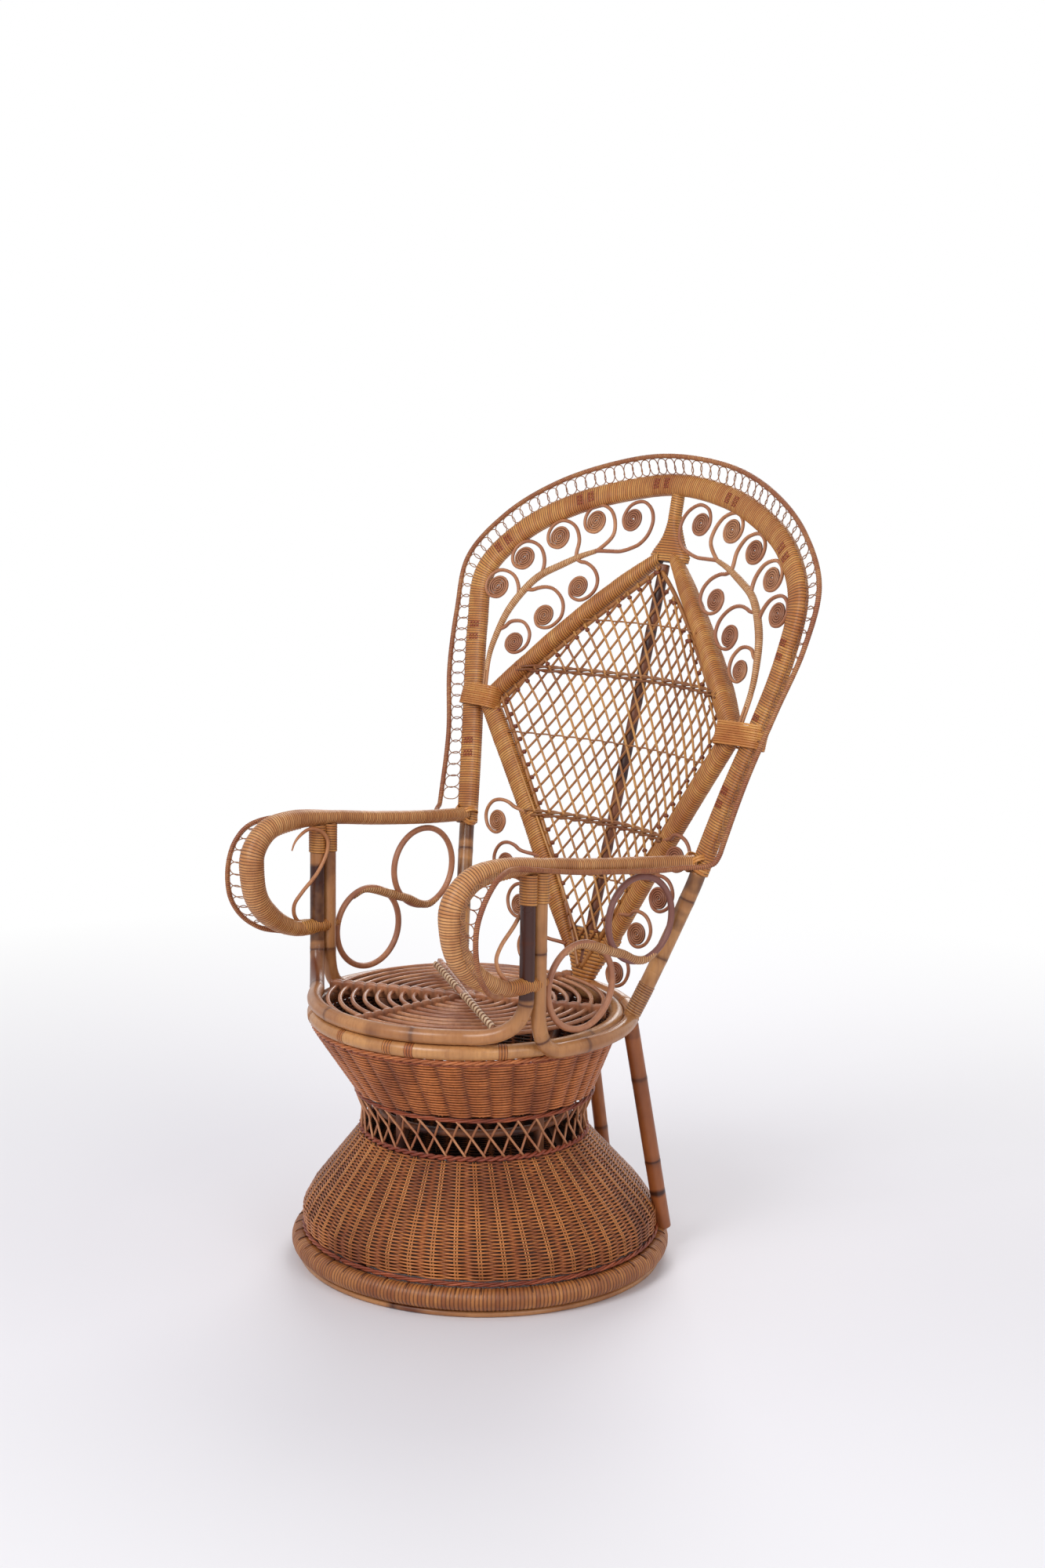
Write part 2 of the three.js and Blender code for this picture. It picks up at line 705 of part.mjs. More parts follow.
// Lashing that binds the kite's side corner to the frame
function lashing(hand, grow = 0) {
  const side = kiteSide(hand);
  const nearFrame = framePath.reduce((best, point) => (
    point.distanceTo(side) < best.distanceTo(side) ? point : best
  ));
  const outer = nearFrame.clone().add(new THREE.Vector3(hand * (frameWide / 2 + lashingWall), 0, 0));
  const inner = side.clone().add(new THREE.Vector3(-hand * lashingInnerReach, 0, 0));
  const middle = outer.clone().add(inner).multiplyScalar(0.5);
  const along = new THREE.Vector3(0, Math.sin(backLean), Math.cos(backLean));
  const points = [-0.5, 0.5].map((share) => (
    middle.clone().addScaledVector(along, share * (lashingHeight + 2 * grow))
  ));
  const across = outer.clone().sub(inner);
  const facing = () => along.clone().cross(across).normalize();
  return sweep(points, {
    wide: across.length() + 2 * grow,
    deep: kiteUpperDeep + 2 * (lashingWall + grow),
    facing,
    sides: 12,
    square: boundSquareness,
  });
}

// Diamond lattice of crossing rods, bowed back to the centre pole
function latticePoint(side, height) {
  const rail = height > kiteSideHeight ? railSideAt(upperRail, height) : railSideAt(lowerRail, height);
  const middle = kiteLine(height) - centrePoleRod / 2 - latticeRod / 2 - gap;
  const forward = Math.max(middle - rail.y, 0);
  const share = Math.min(Math.abs(side) / rail.x, 1);
  return new THREE.Vector3(side, middle - forward * share ** 2, height);
}

// Outline of the kite along its rails' middles, anticlockwise in side place and height
function kiteOutline() {
  const right = [...lowerRail(1).getPoints(4).reverse(), ...upperRail(1).getPoints(4).reverse().slice(1)];
  const left = right.map((point) => new THREE.Vector3(-point.x, point.y, point.z)).reverse();
  return [...right, ...left].map((point) => new THREE.Vector2(point.x, point.z));
}

function lattice() {
  const low = kiteFootHeight + kiteFootWebRise;
  const high = kiteTopHeight - kiteTopWebDrop;
  const lowLine = [new THREE.Vector2(0, low), new THREE.Vector2(kiteHalfWidth, low)];
  const highLine = [new THREE.Vector2(0, high), new THREE.Vector2(-kiteHalfWidth, high)];
  const outline = clipLoop(clipLoop(kiteOutline(), ...lowLine), ...highLine);
  const half = latticePitch / 2;
  const reach = half - latticeRod * Math.SQRT1_2;
  const bar = latticeRod / 2;
  const rows = Math.ceil((kiteTopHeight - kiteFootHeight) / half);
  const columns = Math.ceil(kiteHalfWidth / half);
  const holes = [];
  for (let row = -rows; row <= rows; row += 1) {
    for (let column = -columns; column <= columns; column += 1) {
      if ((row + column) % 2 === 0) {
        const at = (u, v) => new THREE.Vector2(column * half + u, kiteSideHeight + row * half + v);
        const whole = [at(reach, 0), at(0, reach), at(-reach, 0), at(0, -reach)];
        const upper = [at(reach - bar, bar), at(0, reach), at(bar - reach, bar)];
        const lower = [at(bar - reach, -bar), at(0, -reach), at(reach - bar, -bar)];
        holes.push(...(latticeBarRows.includes(row) ? [upper, lower] : [whole]));
      }
    }
  }
  const inner = outline.map((corner) => corner.clone());
  const clipped = holes.map((hole) => inner.reduce((loop, corner, i) => {
    const next = inner[(i + 1) % inner.length];
    const inward = next.clone().sub(corner).rotateAround(new THREE.Vector2(), Math.PI / 2);
    inward.setLength(latticeRod / 2);
    return clipLoop(loop, corner.clone().add(inward), next.clone().add(inward));
  }, hole)).filter((loop) => loop.length > 2 && loopArea(loop) > latticeRod ** 2);
  clipped.forEach((loop, row) => loop.forEach((corner, column) => {
    const wander = new THREE.Vector2(Math.sin(row * row + 3 * column), Math.cos(5 * row + 2 * column));
    corner.addScaledVector(wander, finestDetail);
  }));
  const place = (side, height, face) => {
    const point = latticePoint(side, height);
    point.y -= (face * latticeRod) / 2;
    return point;
  };
  const net = plate(outline, clipped.map((loop) => loop.reverse()), place);
  const tools = [kiteSolid(gap), centrePoleSolid(gap), lashing(-1, gap), lashing(1, gap)];
  return tidy(trim(solid(net.points, net.triangles), ...tools));
}

function centrePoleSolid(grow = 0) {
  const low = kiteFootHeight + kiteFootWebRise / 2;
  const points = [low, kiteTopHeight].map((height) => new THREE.Vector3(0, kiteLine(height), height));
  return sweep(points, { wide: centrePoleRod + 2 * grow });
}

// Branch that carries the upper scrolls of one side
function branchPath(hand, pieces = 14) {
  const points = branchCurveShares.map(([sideShare, riseShare]) => (
    backPoint(hand * sideShare * branchHalfWidth, branchFootRise + riseShare * branchRise)
  ));
  return smoothPath(points, pieces);
}

function branchThickness(share) {
  const plain = THREE.MathUtils.lerp(branchFootRod, branchTipRod, share);
  return plain + (branchMiddleRod - branchFootRod) * Math.sin(Math.PI * share);
}

const branchSolid = (hand, grow = 0) => sweep(
  branchPath(hand),
  { wide: (share) => branchThickness(share) + 2 * grow, facing: backFacing, sides: 6 },
);

// Scroll path in side places and heights: an open loop that winds into a disc
function scrollOutline(centre, startRadius, startTurn, endTurn, ease) {
  const outline = [];
  const hand = Math.sign(endTurn - startTurn);
  const loopSteps = Math.max(5, Math.round((Math.abs(endTurn - startTurn) / (2 * Math.PI)) * stepsPerTurn));
  for (let i = 0; i < loopSteps; i += 1) {
    const share = i / loopSteps;
    const radius = scrollDiscRadius + (startRadius - scrollDiscRadius) * (1 - share) ** ease;
    outline.push([radius, startTurn + (endTurn - startTurn) * share]);
  }
  for (let i = 0; i <= scrollTurns * stepsPerTurn; i += 1) {
    const turns = i / stepsPerTurn;
    outline.push([scrollDiscRadius - scrollPitch * turns, endTurn + hand * 2 * Math.PI * turns]);
  }
  return outline.map(([radius, turn]) => [
    centre[0] + radius * Math.cos(turn),
    centre[1] + radius * Math.sin(turn) * Math.cos(backLean),
  ]);
}

function upperScrollPath(scroll) {
  const branch = branchPath(1, 60);
  const tail = branch[Math.round(scroll.leaves * (branch.length - 1))];
  const across = -tail.x + scroll.side;
  const up = (tail.z - scroll.height) / Math.cos(backLean);
  const startTurn = Math.atan2(up, across);
  const endTurn = THREE.MathUtils.degToRad(scroll.turnsIn);
  const centre = [-scroll.side, scroll.height];
  const outline = scrollOutline(centre, Math.hypot(across, up), startTurn, endTurn, 2);
  return outline.map(([side, height]) => backPoint(side, height));
}

function lowerScrollPath(scroll) {
  const tail = railSideAt(lowerRail, scroll.height + lowerLoopRise);
  const across = scroll.side - tail.x;
  const up = (tail.z - scroll.height) / Math.cos(backLean);
  const centre = [-scroll.side, scroll.height];
  const outline = scrollOutline(centre, Math.hypot(across, up), Math.atan2(up, across), lowerLoopEnd, 1);
  return outline.map(([side, height], i) => {
    const place = lowerScrollFootPlace + (height - lowerScrollFootHeight) * lowerScrollLean;
    const settled = THREE.MathUtils.smoothstep(i, 0, stepsPerTurn / 2);
    return new THREE.Vector3(side, THREE.MathUtils.lerp(tail.y, place, settled), height);
  });
}

function mirrored(path, hand) {
  return path.map((point) => new THREE.Vector3(-hand * point.x, point.y, point.z));
}

// Least clear distance of a wound rod to itself, measured on its points
function leastOwnGap(path) {
  let least = Infinity;
  for (let i = 0; i < path.length; i += 1) {
    for (let j = i + 3; j < path.length; j += 1) {
      least = Math.min(least, path[i].distanceTo(path[j]) - scrollRod);
    }
  }
  return least;
}

function scrollSolid(path) {
  return sweep(path, { wide: scrollRod, sides: scrollSides, facing: backFacing });
}

// Edge cane: down one arm, round the back and down the other, with its lace
const edgeBackPath = curveRoundBack(edgeCurveShares, edgeHalfWidth, edgeRise, laceReach, 40);
const caneOffset = armRearRod / 2 + edgeRod / 2 + gap;

function edgeArmPoint(hand, share) {
  const path = armPath(hand, 60);
  const point = path[Math.round(share * (path.length - 1))].clone();
  const leave = THREE.MathUtils.smoothstep(share, ...caneLeaveShares);
  const back = 1 - THREE.MathUtils.smoothstep(share, ...caneReturnShares);
  const out = THREE.MathUtils.lerp(caneOffset, armCaneSpread, Math.min(leave, back));
  point.x += hand * out;
  return point;
}

function edgePath() {
  const armShares = [0.94, 0.88, 0.82, 0.77, 0.72, 0.67, 0.62, 0.57, 0.52, 0.47, 0.42, 0.36, 0.28, 0.18];
  const left = armShares.map((share) => edgeArmPoint(-1, share));
  const right = armShares.map((share) => edgeArmPoint(1, share)).reverse();
  return [...left, ...edgeBackPath, ...right];
}

function laceStrand(outerAt, innerAt, count) {
  const points = [];
  for (let i = 0; i <= count; i += 1) {
    const share = i / count;
    points.push(i % 2 === 0 ? outerAt(share) : innerAt(share));
  }
  return sweep(points, { wide: laceRod, sides: 4 });
}

function edgeAndLace() {
  const onPath = (path) => (share) => path[Math.round(share * (path.length - 1))].clone();
  const caneFine = new THREE.CatmullRomCurve3(edgeBackPath).getPoints(300);
  const frameFine = new THREE.CatmullRomCurve3(framePath).getPoints(300);
  const trimmedShare = (share) => THREE.MathUtils.lerp(laceEndShare, 1 - laceEndShare, share);
  const frameNear = (share) => {
    const outer = onPath(caneFine)(trimmedShare(share));
    return frameFine.reduce((best, point) => (
      point.distanceTo(outer) < best.distanceTo(outer) ? point : best
    )).clone();
  };
  const caneAt = (share) => onPath(caneFine)(trimmedShare(share));
  const strands = [laceStrand(caneAt, frameNear, laceStrandCount)];
  for (const hand of [-1, 1]) {
    const along = (share) => THREE.MathUtils.lerp(...armLaceShares, share);
    const outer = (share) => edgeArmPoint(hand, along(share));
    const inner = (share) => onPath(armPath(hand, 60))(along(share));
    strands.push(laceStrand(outer, inner, armLaceStrandCount));
  }
  const cane = sweep(edgePath(), { wide: edgeRod, sides: 5 });
  const tools = [frameSolid(gap), bothArms(gap), lashing(-1, gap), lashing(1, gap)];
  return tidy(trim(wasm.Manifold.union([cane, ...strands]), ...tools));
}

// Double scroll ring under an arm, with its wound link
function scrollRing(hand, middle, height) {
  const points = [];
  for (let i = 0; i < ringPieces; i += 1) {
    const turn = (2 * Math.PI * i) / ringPieces;
    const place = middle + scrollRingRadius * Math.cos(turn);
    const rise = scrollRingRadius * Math.sin(turn);
    points.push(new THREE.Vector3(hand * armSide(place), place, height + rise));
  }
  return sweep(points, { wide: scrollRingRod, sides: 4, closed: true, facing: sideways });
}

function scrollRings(hand) {
  const top = lowerRingHeight + scrollRingRadius;
  const bottom = upperRingHeight - scrollRingRadius;
  const from = new THREE.Vector3(hand * armSide(-lowerRingPlace), -lowerRingPlace, top);
  const to = new THREE.Vector3(hand * armSide(upperRingPlace), upperRingPlace, bottom);
  const link = sweep([from, to], { wide: ringLinkRod, facing: sideways });
  const upper = scrollRing(hand, upperRingPlace, upperRingHeight);
  const lower = scrollRing(hand, -lowerRingPlace, lowerRingHeight);
  const hoops = [frontHoopSolid(gap), rearHoopSolid(gap), seatRingSolid(gap)];
  const rings = wasm.Manifold.union([upper, lower, link]);
  return trim(rings, armSolid(hand, gap), uprightSolid(hand, gap), ...hoops);
}

// Free-ended hook rod inside the arm's curl, leaning on the posts
function hook(hand) {
  const lean = poleRod / 2 + hookRod / 2 + gap;
  const points = hookCurveShares.map(([placeShare, riseShare]) => {
    const place = hookWidth * placeShare - hookFootPlace;
    const height = armReturnHeight + armReturnRod / 2 + hookHeight * riseShare;
    const inward = THREE.MathUtils.smoothstep(riseShare, 0, hookLeanShare) * lean;
    return new THREE.Vector3(hand * (armSide(place) - inward), place, height);
  });
  const rod = sweep(smoothPath(points, 16), { wide: hookRod, sides: 4 });
  return trim(rod, armSolid(hand, gap), frontHoopSolid(gap));
}

// Uprights on the rear hoop that carry the back frame, and legs under it
function hoopPlace(hand, height) {
  return new THREE.Vector3(
    hand * rearHoopRadius * Math.cos(legTopTurn),
    -seatForward + rearHoopRadius * Math.sin(legTopTurn),
    height,
  );
}

function uprightSolid(hand, grow = 0) {
  const frameEnd = framePath[hand < 0 ? 0 : framePath.length - 1];
  const inner = framePath[hand < 0 ? 1 : framePath.length - 2];
  const down = frameEnd.clone().sub(inner).normalize();
  const top = frameEnd.clone().addScaledVector(down, 2 * gap);
  const below = top.clone().addScaledVector(down, sideLegRod);
  const points = [hoopPlace(hand, seatRingHeight + poleRod / 4), below, top];
  return sweep(points, { wide: sideLegRod + 2 * grow, sides: 8 });
}

function sideLegSolid(hand, grow = 0) {
  const foot = new THREE.Vector3(
    hand * legFootRadius * Math.cos(legFootTurn),
    legFootRadius * Math.sin(legFootTurn),
    rimTop - legOverlap,
  );
  const top = hoopPlace(hand, seatRingHeight - poleRod / 4);
  return sweep([foot, top], { wide: sideLegRod + 2 * grow, sides: 8 });
}

function centreLegSolid(grow = 0) {
  const foot = new THREE.Vector3(0, centreLegFootPlace, rimTop - legOverlap);
  const top = new THREE.Vector3(0, rearHoopRadius - seatForward, seatRingHeight - gap);
  return sweep([foot, top], { wide: centreLegRod + 2 * grow, sides: 8 });
}

function leg(body) {
  return trim(body, rimSolid(gap), footPlaitSolid(gap), rearHoopSolid(gap), seatRingSolid(gap));
}

// Seat panel: nested rods in three crossing boards, and the whipped spar on top
function seatPanel() {
  const bodies = [];
  const rodHeight = panelTopHeight - boardHeight / 2;
  for (let i = 0; i < seatRodCount; i += 1) {
    const radius = innermostRodRadius + seatRodPitch * i;
    const pieces = i < 4 ? 10 : 16;
    bodies.push(hoop(radius, rodHeight, -seatForward, seatRod, pieces, 4));
  }
  for (const turn of [0, Math.PI / 3, -Math.PI / 3]) {
    const reach = new THREE.Vector3(Math.sin(turn), Math.cos(turn), 0).multiplyScalar(seatRingRadius);
    const middle = new THREE.Vector3(0, -seatForward, rodHeight);
    const points = [middle.clone().sub(reach), middle.clone().add(reach)];
    const section = { wide: boardThickness, deep: boardHeight };
    bodies.push(sweep(points, { ...section, sides: 4, facing: upward }));
  }
  return tidy(trim(wasm.Manifold.union(bodies), seatRingSolid(gap), frontHoopSolid(gap)));
}

function whippedSpar() {
  const reach = seatRingRadius - poleRod / 2 - whippedSparShort;
  const along = new THREE.Vector3(Math.cos(whippedSparTurn), Math.sin(whippedSparTurn), 0);
  along.multiplyScalar(reach);
  const middle = new THREE.Vector3(0, -seatForward, panelTopHeight + gap + whippedSparRod / 2);
  const points = [middle.clone().sub(along), middle.clone().add(along)];
  return sweep(points, { wide: whippedSparRod, facing: upward });
}

// Seat and its supports
add('inner_frame', innerFrame(), poleLook);
add('seat_ring', seatRingSolid(), poleLook);
add('front_hoop', trim(frontHoopSolid(), bothArms(gap)), poleLook);
add('rear_hoop', trim(rearHoopSolid(), bothArms(gap)), poleLook);
add('seat_panel', seatPanel(), rodLook);
add('whipped_spar', whippedSpar(), rodLook);
const legsGrown = [sideLegSolid(-1, gap), sideLegSolid(1, gap), centreLegSolid(gap)];
add('skirt_wall', trim(skirtSolid(), ...legsGrown), weaveLook);
add('rear_leg_left', leg(sideLegSolid(-1)), poleLook);
add('rear_leg_right', leg(sideLegSolid(1)), poleLook);
add('rear_leg_centre', leg(centreLegSolid()), poleLook);

// Back
add('back_frame', frameSolid(), caneLook);
const kite = trim(kiteSolid(), frameSolid(gap), seatRingSolid(gap), rearHoopSolid(gap));
add('kite_frame', kite, caneLook);
add('centre_pole', trim(centrePoleSolid(), kiteSolid(gap)), poleLook);
add('back_lattice', lattice(), rodLook);
add('edge_cane_lace', edgeAndLace(), caneLook);

const names = { '-1': 'left', 1: 'right' };
const leastGaps = [];
for (const hand of [-1, 1]) {
  const side = names[hand];
  const upright = trim(uprightSolid(hand), rearHoopSolid(gap), armSolid(hand, gap), frameSolid(gap));
  add(`rear_upright_${side}`, upright, poleLook);
  const lash = trim(lashing(hand), frameSolid(gap), kiteSolid(gap));
  add(`side_lashing_${side}`, lash, caneLook);
  const lashGrown = lashing(hand, gap);
  const branch = trim(branchSolid(hand), frameSolid(gap), kiteSolid(gap), lashGrown);
  add(`scroll_branch_${side}`, branch, caneLook);
  add(`arm_${side}`, trim(armSolid(hand), frameSolid(gap), frontHoopSolid(gap)), caneLook);
  add(`arm_scroll_${side}`, scrollRings(hand), rodLook);
  add(`arm_hook_${side}`, hook(hand), rodLook);
  for (const scroll of upperScrolls) {
    const path = mirrored(upperScrollPath(scroll), hand);
    leastGaps.push(leastOwnGap(path));
    const tools = [branchSolid(hand, gap), frameSolid(gap), kiteSolid(gap)];
    add(`${scroll.name}_${side}`, trim(scrollSolid(path), ...tools), rodLook);
  }
  for (const scroll of lowerScrolls) {
    const path = mirrored(lowerScrollPath(scroll), hand);
    leastGaps.push(leastOwnGap(path));
    add(`${scroll.name}_${side}`, trim(scrollSolid(path), kiteSolid(gap), lashGrown), rodLook);
  }
}
console.log(`least gap of a scroll to itself: ${Math.min(...leastGaps).toFixed(2)} mm`);

// The origin is under the middle of the chair's box, on the floor
const box = new THREE.Box3().setFromObject(chair);
chair.position.y = -(box.min.y + box.max.y) / 2;

export default chair;
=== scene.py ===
# %% [markdown]
# # Peacock chair
# A rattan armchair: a woven drum for a base, a round seat of rods, curled arms
# and a tall open back with a kite-shaped lattice and scrolls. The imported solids
# give the plain shapes, and this script lays strands of rattan and cane over
# them, piece by piece.
#
# Lengths are in millimetres in the chair's own frame, whose origin is the
# middle of the rim hoop on the floor, with x to the sitter's left, y to the
# back and z up. They become metres in the row frame when a mesh is made, by
# one shift along y that is measured on the seat ring.

# %% Frame and tools
import bmesh
import bpy
import math
import numpy as np
from mathutils import Matrix, Vector


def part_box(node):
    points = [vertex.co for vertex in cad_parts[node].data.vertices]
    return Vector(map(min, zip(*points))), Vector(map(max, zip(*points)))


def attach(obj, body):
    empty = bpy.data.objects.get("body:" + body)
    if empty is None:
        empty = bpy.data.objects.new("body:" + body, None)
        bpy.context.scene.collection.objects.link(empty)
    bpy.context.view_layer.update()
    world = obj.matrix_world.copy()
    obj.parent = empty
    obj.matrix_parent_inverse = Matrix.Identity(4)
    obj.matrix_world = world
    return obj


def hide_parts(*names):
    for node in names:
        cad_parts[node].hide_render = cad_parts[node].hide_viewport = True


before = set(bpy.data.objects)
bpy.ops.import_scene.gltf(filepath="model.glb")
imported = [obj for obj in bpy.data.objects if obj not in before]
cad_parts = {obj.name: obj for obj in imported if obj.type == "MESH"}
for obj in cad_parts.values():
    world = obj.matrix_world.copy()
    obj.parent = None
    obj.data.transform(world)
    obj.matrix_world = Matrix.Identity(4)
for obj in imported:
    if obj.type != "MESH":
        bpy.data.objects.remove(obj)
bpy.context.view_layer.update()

MM = 0.001
SEAT_FORWARD = 36
low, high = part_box("seat_ring")
ROW_SHIFT = Vector((0, (low.y + high.y) / 2 + SEAT_FORWARD * MM, 0))
rng = np.random.default_rng(7)
print("shift of the chair's axis to the row frame:", round(ROW_SHIFT.y * 1000, 1), "mm")

# %% [markdown]
# ## Strands
# Nearly everything on the chair is a strand: a pole, a rod, a strip of cane.
# Blender's spin and extrude carry one unchanging outline along a simple path,
# and a curve's bevel can't be flat, leaning and coloured by the turn. A wound
# strand needs all three, so a `Bundle` sweeps rings of points along each path
# and joins them with rows of quads, and one mesh holds hundreds of strands.
#
# Each point keeps three numbers for the materials: `tone`, which varies from strand to strand and on the
# weave is set lightest as a painted highlight, `mark`, which darkens nodes and knots and paints shade into
# grooves, gaps and the flanks of strands, and `dye`, which turns cane red-brown.

# %% Directions along a path
def unit(vectors):
    return vectors / np.maximum(np.linalg.norm(vectors, axis=-1, keepdims=True), 1e-9)


def tangents(path, closed):
    if closed:
        return unit(np.roll(path, -1, 0) - np.roll(path, 1, 0))
    return unit(np.gradient(path, axis=0))


def carried_up(along):
    """An up vector carried along the path without twisting."""
    up = np.eye(3)[np.argmin(np.abs(along[0]))]
    ups = []
    for direction in along:
        up = up - direction * up.dot(direction)
        up /= np.linalg.norm(up)
        ups.append(up)
    return np.array(ups)


def column(value, count):
    """One number, or one a point, as a column."""
    return np.broadcast_to(np.asarray(value, float).reshape(-1, 1), (count, 1))


print("a strand along x starts with its up vector at", carried_up(np.eye(3)[:1])[0])

# %% [markdown]
# At every point of a path the ring needs three directions: along the path, up
# and across. The up vector is either the way that the piece faces, or one
# carried along the path so that it doesn't twist. Sections run from round to
# nearly square by raising cosine and sine to a power below 1. Cane lies aslant
# on a pole, so a ring may lean.

# %% Bundle of strands
LAYERS = ("tone", "mark", "dye")


class Bundle:
    def __init__(self):
        self.points, self.faces, self.layers, self.count = [], [], [], 0

    def tube(self, path, wide, deep=None, facing=None, sides=6, closed=False,
             tone=None, mark=0, dye=0, relief=0, lean=0, square=1, flanks=0):
        """Adds a strand; wide and deep are half sizes, relief a radial change, flanks painted shade on its
        sides.
        """
        path = np.asarray(path, float)
        count = len(path)
        along = tangents(path, closed)
        if facing is None:
            up = carried_up(along)
        else:
            up = np.broadcast_to(facing(path) if callable(facing) else facing, path.shape)
            up = unit(up - along * (up * along).sum(1, keepdims=True))
        across = np.cross(up, along)
        turn = 2 * np.pi * (np.arange(sides) + 0.5) / sides
        cos = (np.sign(np.cos(turn)) * np.abs(np.cos(turn)) ** square)[None, :]
        sin = (np.sign(np.sin(turn)) * np.abs(np.sin(turn)) ** square)[None, :]
        half_wide = column(wide, count) + relief
        half_deep = column(wide if deep is None else deep, count) + relief
        ring = (path[:, None, :] + across[:, None, :] * (half_wide * cos)[..., None]
                + up[:, None, :] * (half_deep * sin)[..., None]
                + along[:, None, :] * (lean * cos)[..., None])
        index = self.count + np.arange(count * sides).reshape(count, sides)
        here, there = (index, np.roll(index, -1, 0)) if closed else (index[:-1], index[1:])
        beside = np.roll(here, -1, 1), np.roll(there, -1, 1)
        faces = np.stack([here, beside[0], beside[1], there], -1).reshape(-1, 4)
        tone = rng.random() if tone is None else tone
        # Painted shade: flanks darkens the sides of the section through mark.
        shaded = column(flanks, count) * np.abs(np.cos(turn))[None, :] ** 2
        mark = np.clip(column(mark, count) + shaded, 0, 1)
        layer = [np.broadcast_to(column(v, count) if np.ndim(v) < 2 else v, (count, sides))
                 for v in (tone, mark, dye)]
        self.points.append(ring.reshape(-1, 3))
        self.faces += faces.tolist()
        if not closed:
            self.faces += [index[0][::-1].tolist(), index[-1].tolist()]
        self.layers.append(np.stack([v.reshape(-1) for v in layer], 1))
        self.count += count * sides

    def make(self, name, material, nodes=(), slot=None):
        """Turns the bundle into a piece that rides the chair's body."""
        mesh = bpy.data.meshes.new(name)
        points = np.concatenate(self.points) * MM + np.array(ROW_SHIFT)
        mesh.from_pydata(points, [], self.faces)
        layers = np.concatenate(self.layers)
        for i, layer in enumerate(LAYERS):
            mesh.attributes.new(layer, "FLOAT", "POINT").data.foreach_set("value", layers[:, i].copy())
        mesh.shade_smooth()
        return add_piece(mesh, name, material, nodes)


print("each point carries", ", ".join(LAYERS))

# %% [markdown]
# A finished piece has its object at the origin and its place in its mesh. It rides the chair's one body,
# names the CAD nodes that it replaces, and is noted for the report of its cell.

# %% Pieces
made = []


def add_piece(mesh, name, material, nodes=()):
    piece = bpy.data.objects.new(name, mesh)
    bpy.context.collection.objects.link(piece)
    mesh.materials.append(material)
    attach(piece, "root")
    if nodes:
        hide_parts(*nodes)
    made.append(f"{name} {len(mesh.polygons)}")
    return piece


def report(title):
    """Prints the pieces made since the last report, with their faces."""
    print(f"{title}: {', '.join(made)}")
    made.clear()


# %% [markdown]
# ## Paths
# A strand's path is a row of points. It is drawn through a few chosen points
# with a smooth curve and then resampled at even steps, so that the winding's
# turns come out equal. The centripetal form of the curve is used because it
# never loops or overshoots between points that lie close together.

# %% Curves through points
def smooth(points, step):
    """A curve through the points (centripetal Catmull-Rom), resampled every step."""
    points = np.asarray(points, float)
    ends = 2 * points[0] - points[1], 2 * points[-1] - points[-2]
    p = np.vstack([ends[0], points, ends[1]])
    knots = np.concatenate([[0], np.cumsum(np.sqrt(np.linalg.norm(np.diff(p, axis=0), axis=1)))])
    dense = []
    for i in range(1, len(p) - 2):
        t0, t1, t2, t3 = knots[i - 1:i + 3]
        t = np.linspace(t1, t2, 24, endpoint=i == len(p) - 3)[:, None]
        a1 = ((t1 - t) * p[i - 1] + (t - t0) * p[i]) / (t1 - t0)
        a2 = ((t2 - t) * p[i] + (t - t1) * p[i + 1]) / (t2 - t1)
        a3 = ((t3 - t) * p[i + 1] + (t - t2) * p[i + 2]) / (t3 - t2)
        b1 = ((t2 - t) * a1 + (t - t0) * a2) / (t2 - t0)
        b2 = ((t3 - t) * a2 + (t - t1) * a3) / (t3 - t1)
        dense.append(((t2 - t) * b1 + (t - t1) * b2) / (t2 - t1))
    return resample(np.vstack(dense), step)


def lengths(path):
    return np.concatenate([[0], np.cumsum(np.linalg.norm(np.diff(path, axis=0), axis=1))])


def resample(path, step):
    s = lengths(path)
    count = max(2, round(s[-1] / step) + 1)
    at = np.linspace(0, s[-1], count)
    return np.stack([np.interp(at, s, path[:, k]) for k in range(3)], 1)


def at_share(path, share):
    s = lengths(path)
    return np.stack([np.interp(np.asarray(share) * s[-1], s, path[:, k]) for k in range(3)], -1)


def circle(radius, height, forward, count):
    turn = 2 * np.pi * np.arange(count) / count
    return np.stack([radius * np.sin(turn), -forward - radius * np.cos(turn),
                     np.full(count, float(height))], 1)


def hashed(values):
    """A repeatable number from 0 to 1 for each value."""
    return np.mod(np.sin(np.asarray(values) * 12.9898) * 43758.5453, 1)


def mirrored(path, hand):
    return path * np.array([hand, 1, 1])


corner = smooth([(0, 0, 0), (100, 0, 0), (100, 100, 0)], 1)
print("200 mm round a corner, smoothed:", round(lengths(corner)[-1], 1), "mm")

# %% [markdown]
# ## Wound cane
# Poles and frames are wound with flat cane about 4 mm wide. Each turn is a low ridge with a groove beside
# it, whose dark colour is painted shade, and neighbouring turns differ a little in tone, width and height.
# One helix of flat strip would leave gaps at bends, so the winding is a tube whose radius rises and falls
# once a turn, with four rings of points for each turn: enough for the ridge and its groove.

# %% Winding
CANE_WIDTH = 4.2
CANE_RIDGE = 0.75
RINGS_A_TURN = 4
TURN_WOBBLE = 0.12


